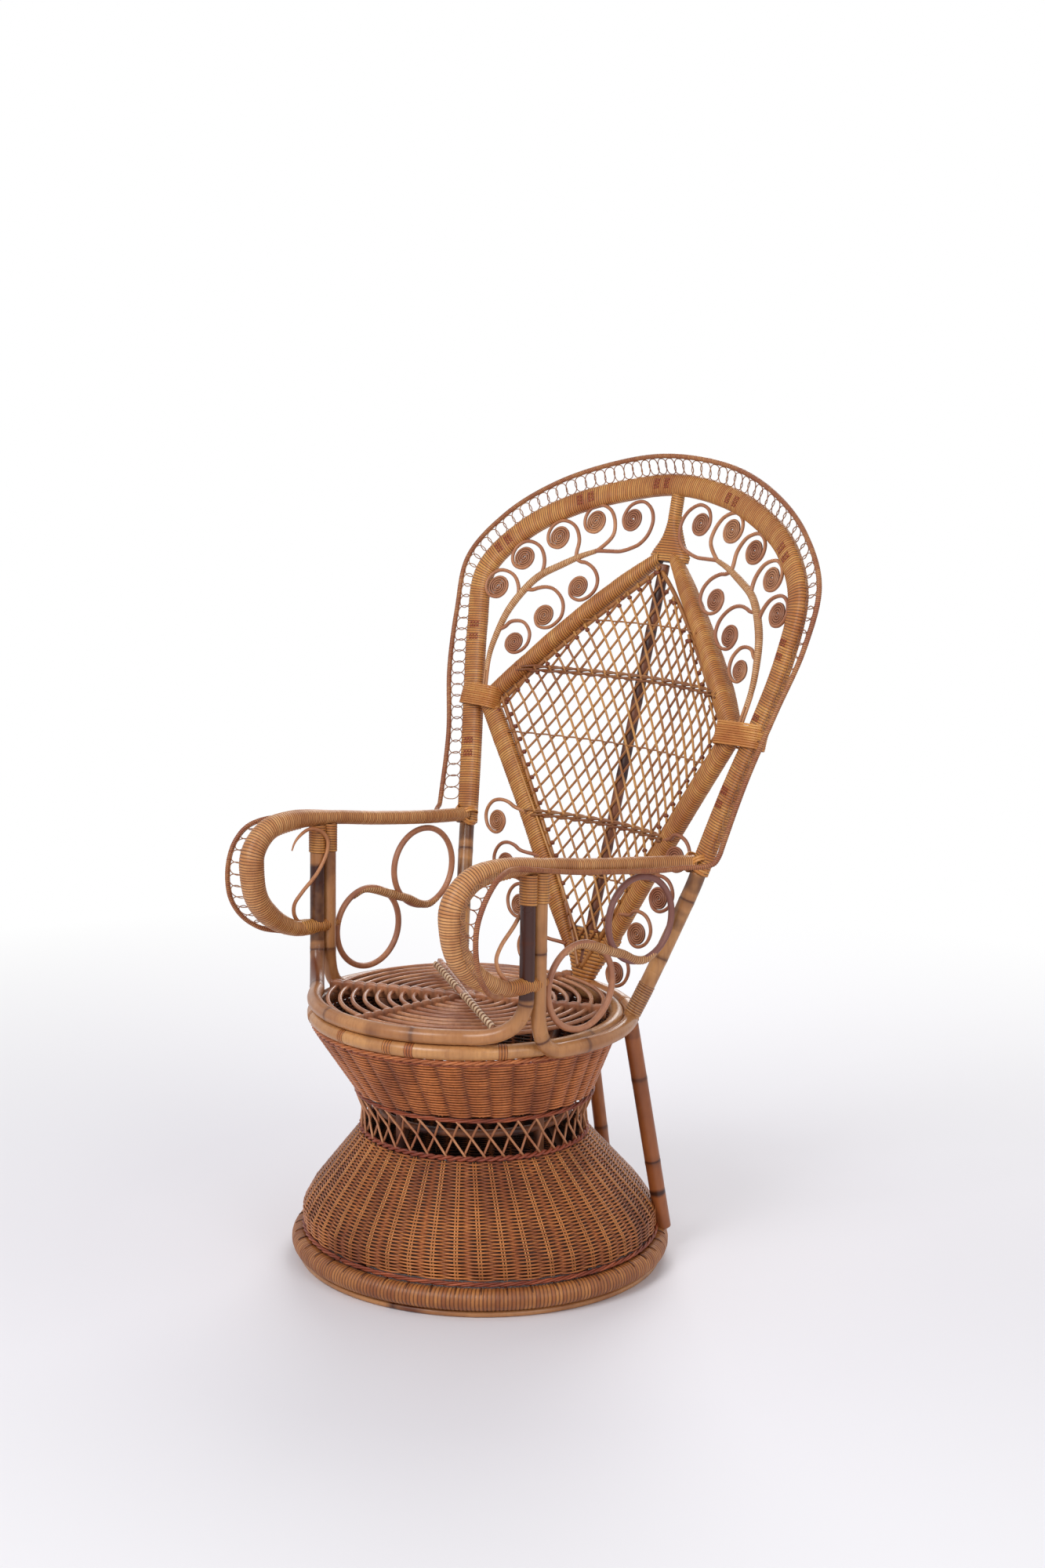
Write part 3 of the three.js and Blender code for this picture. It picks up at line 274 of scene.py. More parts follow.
def wind(bundle, path, wide, deep=None, facing=None, sides=14, closed=False,
         width=CANE_WIDTH, ridge=CANE_RIDGE, lean=1.2, dye=0, square=1, seed=0):
    """Winds cane round a path, four rings of points a turn."""
    turns = max(2, round(lengths(path)[-1] / width))
    count = turns * RINGS_A_TURN + (0 if closed else 1)
    share = np.arange(count) / (turns * RINGS_A_TURN)
    loop = np.vstack([path, path[:1]]) if closed else path
    turn = share * turns
    number = np.floor(turn + 0.5)
    in_groove = np.mod(np.arange(count), RINGS_A_TURN) == 0
    wobble = TURN_WOBBLE * (hashed(number + seed) - 0.5) * in_groove
    centre = at_share(loop, np.clip(share + wobble / turns, 0, 1))
    arch = np.abs(np.sin(np.pi * turn)) ** 0.6
    own = hashed(np.floor(turn) * 1.7 + seed)
    relief = ridge * (arch * (0.75 + 0.25 * own) - 1)

    def size(value):
        return value if value is None or np.ndim(value) == 0 else np.interp(
            share, np.linspace(0, 1, len(value)), value)
    reds = np.interp(share, np.linspace(0, 1, len(dye)), dye) if np.ndim(dye) else dye
    # Painted shade: the groove beside each turn is marked dark.
    bundle.tube(centre, size(wide), size(deep), facing, sides, closed, tone=own,
                mark=(1 - arch) ** 1.5, dye=reds, relief=relief[:, None],
                lean=lean, square=square)


print("a metre of pole takes", round(1000 / CANE_WIDTH), "turns of cane")

# %% [markdown]
# ## Poles
# A bare rattan pole is smooth, with a node every hand's width or two: a slight
# swelling, a fine groove and a dark ring where a leaf sheath grew. Poles are
# bent over a flame, which leaves brown scorched stretches. Nodes and burns are
# given as shares of the pole's length and end up in the points' relief, mark
# and dye, so that one material serves every pole.

# %% Poles
NODE_SPREAD, GROOVE_OFF, GROOVE_WIDTH, GROOVE_DEPTH = 5, 1.5, 1.2, 0.5
RING_WIDTH, SHADE_WIDTH, BURN_EDGE = 1.6, 9, 12


def pole(bundle, path, radius, nodes=(), sides=14, facing=None, closed=False, tone=None,
         bow=0.5, burns=()):
    """A smooth pole; nodes and burns (start, end, strength) lie at shares of its length."""
    path = np.asarray(path, float)
    share = np.linspace(0, 1, len(path))
    length = lengths(path)[-1]
    relief = np.zeros(len(path))
    mark = np.zeros(len(path))
    for node in nodes:
        away = (share - node) * length
        relief += bow * np.exp(-(away / NODE_SPREAD) ** 2)
        relief -= GROOVE_DEPTH * np.exp(-((away - GROOVE_OFF) / GROOVE_WIDTH) ** 2)
        mark += 0.9 * np.exp(-((away - GROOVE_OFF) / RING_WIDTH) ** 2)
        mark += 0.3 * np.exp(-(away / SHADE_WIDTH) ** 2)
    burnt = np.zeros(len(path))
    for start, end, strength in burns:
        inside = np.minimum(share - start, end - share) * length
        burnt = np.maximum(burnt, strength * np.clip(inside / BURN_EDGE + 0.5, 0, 1))
    bundle.tube(path, radius, facing=facing, sides=sides, closed=closed, tone=tone,
                mark=np.clip(mark, 0, 1), dye=burnt, relief=relief[:, None])


print("a node stands in", 2 * NODE_SPREAD, "mm, its groove is", GROOVE_DEPTH, "mm deep")

# %% [markdown]
# ## Materials
# Every surface is rattan, either its shiny skin (poles and cane) or its core
# (rods and weavers), under a thin satin varnish. The base is a Principled
# shader at its usual IOR, with a light coat. Colours are sRGB hex values that
# `linear` turns into the linear values that Blender mixes.
#
# One small function adds a node with its settings and links, and gives back
# the output that the next node needs.

# %% Colours and nodes
def linear(colour):
    channels = [int(colour[i:i + 2], 16) / 255 for i in (0, 2, 4)]
    return [c / 12.92 if c <= 0.04045 else ((c + 0.055) / 1.055) ** 2.4 for c in channels] + [1]


def add(tree, kind, settings=None, give=0, **inputs):
    """Adds a node; an input is a socket's name with _ for a blank, or i and its number."""
    node = tree.nodes.new(kind)
    for key, value in (settings or {}).items():
        setattr(node, key, value)
    for key, value in inputs.items():
        socket = node.inputs[int(key[1:]) if key[1:].isdigit() else key.replace("_", " ")]
        if isinstance(value, bpy.types.NodeSocket):
            tree.links.new(value, socket)
        else:
            socket.default_value = linear(value) if isinstance(value, str) else value
    return node.outputs[give]


MULTIPLY, PLUS = {"operation": "MULTIPLY"}, {"operation": "ADD"}
COLOUR_MIX = {"data_type": "RGBA"}
print("mid grey 808080 is", round(linear("808080")[0], 3), "linear")

# %% [markdown]
# ## Rattan
# Real rattan runs from pale straw to brown within one stem, in patches as long
# as a finger, with fine fibre streaks along it. Two noises in the object's own
# coordinates give the patches and the streaks. Real fibres are under 1 mm wide,
# which wouldn't show at this picture size, so they are drawn about 4.5 mm wide.
# The strands' own numbers then vary the tone, redden what is dyed, darken nodes and paint shade into
# grooves, gaps and flanks. Scorched poles also get ragged brown patches.

# %% Rattan
FIBRE_MM = (4.545, 4.545, 55.56)
FIBRE_HEIGHT = 0.4


def rattan(name, light, main, deep, groove="3a1a0c", dyed="8a3a22", roughness=0.42,
           patch_mm=71.4, bump=0.25, scorch=None):
    """Varnished rattan; scorch is (colour, patch size in mm, (noise start, noise end))."""
    material = bpy.data.materials.new(name)
    material.use_nodes = True
    tree = material.node_tree
    shader = tree.nodes["Principled BSDF"]
    place = add(tree, "ShaderNodeTexCoord", give="Object")
    tone, mark, dye = (add(tree, "ShaderNodeAttribute", {"attribute_name": layer}, give="Fac")
                       for layer in LAYERS)
    cloud = add(tree, "ShaderNodeTexNoise", Vector=place, Scale=1000 / patch_mm, Detail=4.0,
                Roughness=0.6)
    stretched = add(tree, "ShaderNodeMapping", Vector=place, Scale=[1000 / size for size in FIBRE_MM])
    grain = add(tree, "ShaderNodeTexNoise", Vector=stretched, Scale=1.0, Detail=3.0)
    colour = add(tree, "ShaderNodeMix", COLOUR_MIX, 2, i0=tone, i6=light, i7=main)
    patches = add(tree, "ShaderNodeMapRange", Value=cloud, From_Min=0.42, From_Max=0.72)
    colour = add(tree, "ShaderNodeMix", COLOUR_MIX, 2, i0=patches, i6=colour, i7=deep)
    streaks = add(tree, "ShaderNodeMapRange", Value=grain, From_Min=0.45, From_Max=0.7, To_Max=0.35)
    colour = add(tree, "ShaderNodeMix", COLOUR_MIX, 2, i0=streaks, i6=colour, i7=deep)
    if scorch:
        burn_colour, burn_mm, (burn_start, burn_end) = scorch
        uneven = add(tree, "ShaderNodeMath", {"operation": "MULTIPLY_ADD"}, i0=cloud, i1=1.3, i2=-0.65)
        ragged = add(tree, "ShaderNodeMath", PLUS, i0=dye, i1=uneven)
        edge = add(tree, "ShaderNodeMapRange", Value=ragged, From_Min=0.35, From_Max=0.75)
        within = add(tree, "ShaderNodeMapRange", Value=dye, From_Max=0.25)
        burnt = add(tree, "ShaderNodeMath", MULTIPLY, i0=edge, i1=within)
        colour = add(tree, "ShaderNodeMix", COLOUR_MIX, 2, i0=burnt, i6=colour, i7=dyed)
        spots = add(tree, "ShaderNodeTexNoise", Vector=place, Scale=1000 / burn_mm, Detail=2.0)
        burns = add(tree, "ShaderNodeMapRange", Value=spots, From_Min=burn_start, From_Max=burn_end)
        colour = add(tree, "ShaderNodeMix", COLOUR_MIX, 2, i0=burns, i6=colour, i7=burn_colour)
    else:
        colour = add(tree, "ShaderNodeMix", COLOUR_MIX, 2, i0=dye, i6=colour, i7=dyed)
    # Painted shade: mark mixes in the groove colour in grooves, gaps and on flanks, as well as on the dark
    # rings of nodes.
    colour = add(tree, "ShaderNodeMix", COLOUR_MIX, 2, i0=mark, i6=colour, i7=groove)
    tree.links.new(colour, shader.inputs["Base Color"])
    gloss = add(tree, "ShaderNodeMapRange", Value=cloud, To_Min=roughness - 0.08,
                To_Max=roughness + 0.16)
    tree.links.new(gloss, shader.inputs["Roughness"])
    relief = add(tree, "ShaderNodeBump", Strength=bump, Distance=FIBRE_HEIGHT * MM, Height=grain)
    tree.links.new(relief, shader.inputs["Normal"])
    shader.inputs["Specular IOR Level"].default_value = 0.4
    shader.inputs["Coat Weight"].default_value = 0.05
    shader.inputs["Coat Roughness"].default_value = 0.25
    return material


print("fibre streaks of", FIBRE_MM[0], "by", FIBRE_MM[2], "mm")

# %% [markdown]
# ## Poles' finishes
# Bare poles keep the plant's hard, glassy skin, so they are the glossiest
# parts. Each finish is named for its rattan, and the comment says what the
# eye sees.

# %% Finishes of poles
# Honey yellow and shiny, with brown scorched patches and near-black burns
pole_skin = rattan("honey rattan pole", "c8925c", "ae764a", "905a36", groove="4c2415",
                   dyed="43231b", roughness=0.26, patch_mm=111, scorch=("6a3a24", 125, (0.59, 0.70)))
# Dark brown, dull and uneven: scorched poles, and painted shade on the inner posts inside the drum
dark_pole = rattan("scorched and shade-painted rattan pole", "96603c", "7a452c", "582f1e", groove="2c140c",
                   dyed="40201a", roughness=0.4, patch_mm=83.3, scorch=("3a1c14", 71.4, (0.52, 0.62)))
# Red-brown with long darker stretches, polished by handling
leg_skin = rattan("red-brown rattan leg", "b3703e", "9c5a30", "7e4426", groove="3a1a10",
                  dyed="3c1e14", roughness=0.3, patch_mm=125, scorch=("3a1c12", 90.9, (0.64, 0.70)))
print("pole finishes:", ", ".join(m.name for m in (pole_skin, dark_pole, leg_skin)))

# %% [markdown]
# ## Finishes of core rods
# Rods and weavers are split from the stem's core. They have no skin, so the
# varnish lies on open pores and shines less, and they take up stain, which
# makes them browner and redder than the poles.

# %% Finishes of rods and weavers
# Warm mid brown, satin
scroll_rod = rattan("brown rattan rod", "cf9468", "b97e54", "96583a", groove="38190d",
                    dyed="8e5038", roughness=0.4)
# Pinkish tan, a little shinier
ring_rod = rattan("pinkish tan rattan rod", "c58a62", "ad7050", "8c5540", groove="40200f",
                  dyed="6e4444", roughness=0.36)
# Worn smooth by sitters, so nearly as glossy as a pole
seat_rod = rattan("polished seat rod", "c88e66", "ac7050", "7c4834", groove="33180e", roughness=0.26)
# Golden rods of the back's lattice
lattice_cane = rattan("golden lattice rod", "cc9450", "b0743e", "8c5430", groove="3a1b0c",
                      dyed="7a4026", roughness=0.34)
# Orange brown, the colour of the whole skirt
weaver = rattan("orange-brown rattan weaver", "d88442", "a04e20", "7c3818", groove="250d05",
                patch_mm=100)
# The same core, a shade more golden, in the basket
basket_weaver = rattan("golden brown rattan weaver", "d67e42", "a65022", "823c1c", groove="250d05",
                       patch_mm=100)
# Paler stakes glint between the weavers
stake_rod = rattan("pale rattan stake", "dc9a5c", "b87038", "925024", groove="30130b")
# Painted shade for the inside of the woven walls, nearly black and dull
shadow_rod = rattan("painted shade inside the weave", "34170c", "2a1209", "200d06", groove="160803",
                    roughness=0.7)
# Stained red brown, which sets the plaits off from the walls
plait_rod = rattan("red-brown rattan plait", "a4522f", "843818", "642618", groove="300f08",
                   dyed="7c2e20")
# The basket's rope is left in the walls' orange, with one stained row
basket_rope = rattan("orange-brown rattan plait", "cc7e48", "b4683a", "8c4826", groove="3a180c",
                     dyed="7c3220")
print("finishes so far:", len(bpy.data.materials))

# %% [markdown]
# ## Finishes of cane
# Cane is the skin, cut in flat strips. It is the palest and most golden part where it is new and browns
# where hands rub it. Each finish has its own groove colour, the painted shade in the groove between two
# turns.

# %% Finishes of cane
# Gold with a satin shine: frame, kite, lashings and post wraps
wound_cane = rattan("golden cane winding", "d89c54", "c27c3c", "a6602c", groove="431f0e")
# Browner gold, rubbed by hands
arm_cane = rattan("brown-gold cane winding", "dca268", "c68650", "a86a3c", groove="4a2410")
# Brown, scuffed near the floor
rim_cane = rattan("brown cane winding", "bc7c42", "9c5c30", "7a4020", groove="54290f")
# Reddish thin binding of the outer edge
edge_cane = rattan("reddish cane binding", "c48a54", "ab6a40", "8f4e30", groove="4a2212")
# Grey brown and matt, worn thin strips of the lace
lace_cane = rattan("grey-brown cane lace", "b28458", "98694a", "805038", groove="40200f")
# Pale new cane on the spar
whip_cane = rattan("pale whipping cane", "f0d4b4", "dcb890", "b88c64", groove="5c3018")
# Pale gold on the scrolls' branches and the rings' links
pale_cane = rattan("pale golden cane", "deb080", "cc9660", "b0784a", groove="5c3018")
print("materials:", len(bpy.data.materials))

# %% [markdown]
# ## Drum base
# From the floor: a plain hoop, a thick hoop wound with cane, the flared skirt
# of fine rods woven over paired stakes, the open waist and the basket under
# the seat. The drum leans forward as it rises, so each height has its own
# middle. Every piece of the drum is placed by a turn round that middle, a
# radius and a height, which keeps the weave round at each level.

# %% The drum's leaning outline
FLOOR_HOOP, FLOOR_HOOP_RADIUS = 4.85, 284
RIM_RADIUS, RIM_HALF, RIM_HEIGHT = 283, 17, 27
SKIRT_FOOT, WAIST_TOP = 53.6, 273.4
SKIRT_TOP = (181, 206)
SKIRT_OUTLINE = ((281, SKIRT_FOOT), (281, 79), (262, 110), SKIRT_TOP)
BASKET_FOOT, BASKET_TOP = (190, 279.5), (239, 376.8)
WAIST_FORWARD = 16


def forward_at(height):
    """How far forward the drum's middle lies at a height."""
    height = np.asarray(height, float)
    lower = np.clip((height - SKIRT_FOOT) / (SKIRT_TOP[1] - SKIRT_FOOT), 0, 1)
    upper = np.clip((height - WAIST_TOP) / (BASKET_TOP[1] - WAIST_TOP), 0, 1)
    return WAIST_FORWARD * lower + (SEAT_FORWARD - WAIST_FORWARD) * upper


def on_drum(turn, radius, height):
    turn, radius, height = np.broadcast_arrays(turn, radius, height)
    return np.stack([radius * np.sin(turn), -forward_at(height) - radius * np.cos(turn), height], -1)


def outward(path):
    flat = path - np.stack([np.zeros(len(path)), -forward_at(path[:, 2]), path[:, 2]], 1)
    return unit(flat)


print("drum's middle moves forward", forward_at(BASKET_TOP[1]), "mm up to the seat")

# %% [markdown]
# ## Hoops on the floor
# The chair stands on a thin bare hoop. On it lies a thick hoop wound with wide
# flat cane, and the ends of the skirt's stakes pass under the winding, which
# shows as a row of short dark slits along its top.

# %% Floor hoop and rim hoop
SKIRT_STAKES, BASKET_STAKES = 48, 38
RIM_CANE = 5.8
SLIT_BEND = np.radians(np.array([98, 84, 70, 56, 44]))
SLIT_SIZES = [1.5, 1.6, 1.3, 0.9, 0.4]

hoop = Bundle()
pole(hoop, circle(FLOOR_HOOP_RADIUS, FLOOR_HOOP, 0, 150), FLOOR_HOOP, nodes=(0.06, 0.31, 0.55, 0.83),
     closed=True, sides=10, bow=0)
hoop.make("floor_hoop_rod", pole_skin, ["floor_hoop"], "pole")

rim = Bundle()
wind(rim, circle(RIM_RADIUS, RIM_HEIGHT, 0, 240), RIM_HALF, facing=(0, 0, 1), sides=20,
     closed=True, width=RIM_CANE, ridge=1.0, lean=1.5)
slit_radius = RIM_RADIUS + (RIM_HALF + 0.1) * np.cos(SLIT_BEND)
slit_height = RIM_HEIGHT + (RIM_HALF + 0.1) * np.sin(SLIT_BEND)
for number in range(SKIRT_STAKES):
    turn = 2 * np.pi * (number + 0.5) / SKIRT_STAKES + 0.006 * (rng.random() - 0.5)
    slit = np.stack([slit_radius * math.sin(turn), -slit_radius * math.cos(turn), slit_height], 1)
    # Painted shade: each slit is a thin strand in the groove colour, where a stake passes under the
    # winding.
    rim.tube(slit, SLIT_SIZES, sides=6, mark=1)
rim.make("rim_hoop_winding", rim_cane, ["rim_hoop"], "cane")
report("hoops")

# %% [markdown]
# ## Woven walls
# The weaver passes in front of one pair of stakes and behind the next, and the row above does the opposite.
# Each row here is one closed strand whose radius swings with the turn. A plain sine would look like a wave,
# so its tops are flattened with tanh: the weaver lies straight over the stakes and dips quickly between
# them. The part that dips is marked dark, because little light reaches it, and the top and bottom flanks of
# each row are darkened too: painted shade. Where the weaver bows furthest out it takes the lightest tone, a
# painted highlight.
#
# A real wall isn't seen through, because more rods lie behind the front ones. A dark shell of painted
# shade, spun from the same outline, stands a few millimetres inside in their place.

# %% Weaving
STAKE_POINTS = 14
ROW_DRIFT = 0.4
CORE_STEP, CORE_STEPS = 8, 144


def woven_wall(outline, rows, rod, pairs, stake, gap, bow, flat, groove, samples=12):
    """Weavers that pass in front of and behind paired stakes, turn about row by row."""
    outline = np.asarray(outline, float)
    line = np.stack([outline[:, 0], np.zeros(len(outline)), outline[:, 1]], 1)
    weavers, stakes = Bundle(), Bundle()
    rod, thin = rod
    count = pairs // 2 * samples
    turn = 2 * np.pi * np.arange(count) / count
    for row in range(rows):
        radius, _, height = at_share(line, (row + 0.5) / rows)
        phase = np.pi * (row % 2)
        swing = bow * np.tanh(flat * np.sin(pairs / 2 * turn + phase)) / math.tanh(flat)
        uneven = 0.25 * (hashed(row * 3 + np.floor(turn * 8)) - 0.5)
        drift = 0.5 * np.sin(3 * turn + row) + uneven
        path = on_drum(turn, radius - bow - thin + swing, height + drift * ROW_DRIFT)
        # Painted shade: hidden darkens where the weaver dips behind the stakes and, by groove, where it
        # crosses between front and back; flanks darkens each row's top and bottom. Painted highlight: lit
        # gives the lightest tone where it bows furthest out.
        hidden = np.clip(-swing / bow, 0, 1) * 0.95 + groove * (1 - np.abs(swing) / bow) ** 2
        lit = np.clip(swing / bow, 0, 1) ** 2
        weavers.tube(path, rod, thin, facing=outward, sides=6, closed=True, flanks=0.65,
                     tone=0.85 * rng.random() * (1 - lit), mark=np.clip(hidden, 0, 1))
    radius, _, height = at_share(line, np.linspace(0, 1, STAKE_POINTS)).T
    for number in range(pairs):
        middle = 2 * np.pi * (number + 0.5) / pairs
        for side in (-gap, gap):
            path = on_drum(middle + side / radius, radius - bow - thin + 0.5, height)
            stakes.tube(path, stake, sides=6, tone=0)
    return weavers, stakes


def painted_shade_shell(name, outline, depth):
    """A dark shell of painted shade inside a woven wall, seen only between its rods."""
    outline = np.asarray(outline, float)
    line = np.stack([outline[:, 0] - depth, np.zeros(len(outline)), outline[:, 1]], 1)
    core = bmesh.new()
    verts = [core.verts.new(p) for p in resample(line, CORE_STEP) * MM]
    edges = [core.edges.new(pair) for pair in zip(verts, verts[1:])]
    bmesh.ops.spin(core, geom=verts + edges, cent=(0, 0, 0), axis=(0, 0, 1), angle=2 * math.pi,
                   steps=CORE_STEPS, use_merge=True)
    for vert in core.verts:
        vert.co.y -= forward_at(vert.co.z / MM) * MM
    bmesh.ops.translate(core, verts=core.verts, vec=ROW_SHIFT)
    mesh = bpy.data.meshes.new(name)
    core.to_mesh(mesh)
    core.free()
    mesh.shade_smooth()
    add_piece(mesh, name, shadow_rod)


print("a wall's core is spun in", CORE_STEPS, "steps")

# %% [markdown]
# The skirt's rods are fine, about 3 mm, in 70 rows. The basket's are thicker,
# in 40 rows, and bow further out between its stakes, which gives the wall its
# soft upright ribs.

# %% Skirt and basket
weavers, stakes = woven_wall(SKIRT_OUTLINE, rows=70, rod=(1.6, 1.2), pairs=SKIRT_STAKES, stake=1.35,
                             gap=2.1, bow=2.2, flat=1.0, groove=0.0, samples=9)
weavers.make("skirt_weavers", weaver, ["skirt_wall"], "weave")
stakes.make("skirt_stakes", stake_rod, slot="weave")
painted_shade_shell("skirt_painted_shade", SKIRT_OUTLINE, depth=4.2)

weavers, stakes = woven_wall((BASKET_FOOT, BASKET_TOP), rows=40, rod=(2.1, 1.2), pairs=BASKET_STAKES,
                             stake=1.5, gap=2.6, bow=3.3, flat=1.5, groove=0.3)
weavers.make("basket_weavers", basket_weaver, ["basket_wall"], "weave")
stakes.make("basket_stakes", stake_rod, slot="weave")
painted_shade_shell("basket_painted_shade", (BASKET_FOOT, BASKET_TOP), depth=4.8)
report("walls")

# %% [markdown]
# ## Plaits
# Where a wall begins or ends, two or three rods are twisted round each other
# to lock the weave. Each rod is one closed strand that circles the hoop's line
# as it goes round, with an equal share of a turn between the rods.

# %% Plaits
POINTS_A_TWIST = 10
LOWEST_WAIST, BASKET_TOP_PLAIT = "lower_waist_plait", "basket_plait"


def twine(bundle, radius, height, forward, strands, thick, spread, period, dye=0):
    """Strands twisted round each other along a hoop; period is the length of one twist."""
    twists = round(2 * math.pi * radius / period)
    count = twists * POINTS_A_TWIST
    turn = 2 * np.pi * np.arange(count) / count
    for k in range(strands):
        angle = twists * turn + 2 * np.pi * k / strands
        away = radius + spread * np.cos(angle)
        path = np.stack([away * np.sin(turn), -forward - away * np.cos(turn),
                         height + spread * np.sin(angle)], 1)
        # Painted shade: each strand is marked darker where it turns in toward the wall.
        bundle.tube(path, thick, sides=6, closed=True, dye=dye,
                    mark=np.clip(-np.cos(angle), 0, 1) * 0.5)


# Each plait has a rope (strands, half thickness, spread, period) and perhaps a thin row under it
for name, radius, height, forward, rope, row in (
        ("foot_plait", 280, 48.8, 0, (3, 1.9, 2.0, 60), None),
        (LOWEST_WAIST, 177.8, 210.8, WAIST_FORWARD, (2, 2.4, 2.2, 30), None),
        ("upper_waist_plait", 186.8, 273.5, WAIST_FORWARD, (3, 1.9, 2.0, 72), None),
        (BASKET_TOP_PLAIT, 238, 382, SEAT_FORWARD, (3, 2.0, 2.1, 46), (2, 1.1, 1.0, 24))):
    plait = Bundle()
    twine(plait, radius, height, forward, *rope, dye=0.25 if name == LOWEST_WAIST else 0)
    if row:
        twine(plait, radius - 1, height - 5.2, forward, *row, dye=0.7)
    cane = basket_rope if name == BASKET_TOP_PLAIT else plait_rod
    plait.make(f"{name}_rods", cane, [name], "plait")
report("plaits")

# %% [markdown]
# ## Waist
# Thin rods cross in an open lattice all round the waist. One set leans one way
# in front, the other leans back behind it, and each rod follows the drum's
# round, so its path is a short piece of a helix. The front set leans further
# than the back set, as on the real chair.
#
# Through the lattice a few dark posts show, which carry the seat. Only their
# shadows can be made out, so four plain posts and a hoop stand in for them.

# %% Waist lattice and inner posts
WAIST_RODS, WAIST_ROD = 38, 1.85
WAIST_LOW, WAIST_RISE = 212, 60
WAIST_RADII = (177, 174.5, 186)
FRONT_RUN, BACK_RUN = 1.5, 0.85
POST_RADII, POST_HEIGHTS = (250, 150, 150, 225), (9.7, 206, 275, 389)
INNER_HOOP_RADIUS, INNER_HOOP_HEIGHT = 150, 242

lattice = Bundle()
share = np.linspace(0, 1, 9)
for number in range(WAIST_RODS):
    for hand in (-1, 1):
        run = FRONT_RUN if hand < 0 else BACK_RUN
        turn = 2 * np.pi * (number + hand * (share - 0.5) * run) / WAIST_RODS
        radius = np.interp(share, [0, 0.5, 1], WAIST_RADII) - hand * 1.7
        lattice.tube(on_drum(turn, radius, WAIST_LOW + WAIST_RISE * share), WAIST_ROD, sides=8,
                     dye=0.1 if hand < 0 else 0.35, tone=0.3 if hand < 0 else 0.8)
lattice.make("waist_lattice_rods", scroll_rod, ["waist_lattice"], "rod")

inner = Bundle()
for quarter in range(4):
    line = on_drum(np.full(4, math.pi / 2 * quarter), np.array(POST_RADII), np.array(POST_HEIGHTS))
    pole(inner, resample(line, 6), 8, nodes=(0.2, 0.45, 0.7), sides=10)
pole(inner, circle(INNER_HOOP_RADIUS, INNER_HOOP_HEIGHT, WAIST_FORWARD, 90), 6, closed=True, sides=8)
# Painted shade: the dark scorched finish stands for the shadow inside the drum, where these posts stand.
inner.make("inner_posts", dark_pole, ["inner_frame"], "pole")
report("waist")

# %% [markdown]
# ## Seat hoops
# The seat ring is a plain hoop. A front hoop lies on it and a rear hoop lies
# round it, and each has its two ends bent up into the posts that carry the
# arms. One path gives the arc, the bend and the post, so the pole keeps its
# thickness and its nodes through the bend, as bent rattan does. The bend is a
# quadratic curve whose corner is the foot of the post.

# %% Seat hoops and posts
POLE = 11.5
SEAT_RADIUS, SEAT_HEIGHT = 235.6, 396.9
POST_SIDE = 248.5
FRONT_POST, REAR_POST = 137, 113.7
POST_TOP, WRAP_HEIGHT = 668, 45
BEND_HEIGHT, BEND_POINTS = 70, 15
FRONT_START, REAR_START = 48, 81


def bent_hoop(radius, height, start, end, post, samples=60):
    """A hoop from one turn to another, in degrees, whose two ends bend up into posts."""
    turn = np.radians(np.linspace(start, end, samples))
    arc = np.stack([radius * np.sin(turn), -SEAT_FORWARD - radius * np.cos(turn),
                    np.full(samples, float(height))], 1)

    def post_end(arc_end):
        side = math.copysign(POST_SIDE, arc_end[0])
        foot = np.array([side, -post, height])
        bend_top = foot + [0, 0, BEND_HEIGHT]
        t = np.linspace(0, 1, BEND_POINTS + 1)[1:, None]
        bend = (1 - t) ** 2 * arc_end + 2 * t * (1 - t) * foot + t * t * bend_top
        return np.vstack([bend, [[side, -post, POST_TOP]]])
    return resample(np.vstack([post_end(arc[0])[::-1], arc, post_end(arc[-1])]), 3)


def nearest_share(path, point):
    s = lengths(path)
    return s[np.argmin(np.linalg.norm(path - point, axis=1))] / s[-1]


def hoop_shares(path, radius, turns):
    """Where along a hoop's path it passes these turns, in degrees."""
    return [nearest_share(path, np.array([radius * math.sin(math.radians(t)),
                                          -SEAT_FORWARD - radius * math.cos(math.radians(t)),
                                          path[:, 2].min()])) for t in turns]


ring_path = circle(SEAT_RADIUS, SEAT_HEIGHT, SEAT_FORWARD, 480)
seat_ring = Bundle()
pole(seat_ring, ring_path, POLE, hoop_shares(ring_path, SEAT_RADIUS, (100, 176, 240, 310)),
     closed=True, sides=16)
seat_ring.make("seat_ring_pole", pole_skin, ["seat_ring"], "pole")

front_path = bent_hoop(SEAT_RADIUS, SEAT_HEIGHT + 2 * POLE + 0.3, -FRONT_START, FRONT_START, FRONT_POST)
front_nodes = hoop_shares(front_path, SEAT_RADIUS, (-53, -12, 29)) + [0.09, 0.2, 0.81, 0.9]
front_hoop = Bundle()
pole(front_hoop, front_path, POLE, front_nodes, sides=16,
     burns=((0.815, 1.0, 0.95), (0.06, 0.19, 0.75)))
front_hoop.make("front_hoop_pole", pole_skin, ["front_hoop"], "pole")

rear_radius = SEAT_RADIUS + 2 * POLE + 0.3
rear_path = bent_hoop(rear_radius, SEAT_HEIGHT, REAR_START, 360 - REAR_START, REAR_POST, 90)
rear_nodes = hoop_shares(rear_path, rear_radius, (92, 150, 214, 262)) + [0.08, 0.17, 0.86]
rear_hoop = Bundle()
pole(rear_hoop, rear_path, POLE, rear_nodes, sides=16, burns=((0.0, 0.03, 0.3), (0.93, 1.0, 0.35)))
rear_hoop.make("rear_hoop_pole", pole_skin, ["rear_hoop"], "pole")
report("seat hoops")

# %% [markdown]
# ## Bindings
# Short windings of cane tie the hoops together where they touch, and a longer
# wrap covers the top of each post, where it meets the arm. They are the same
# winding as before on short paths, a little thicker than the pole.

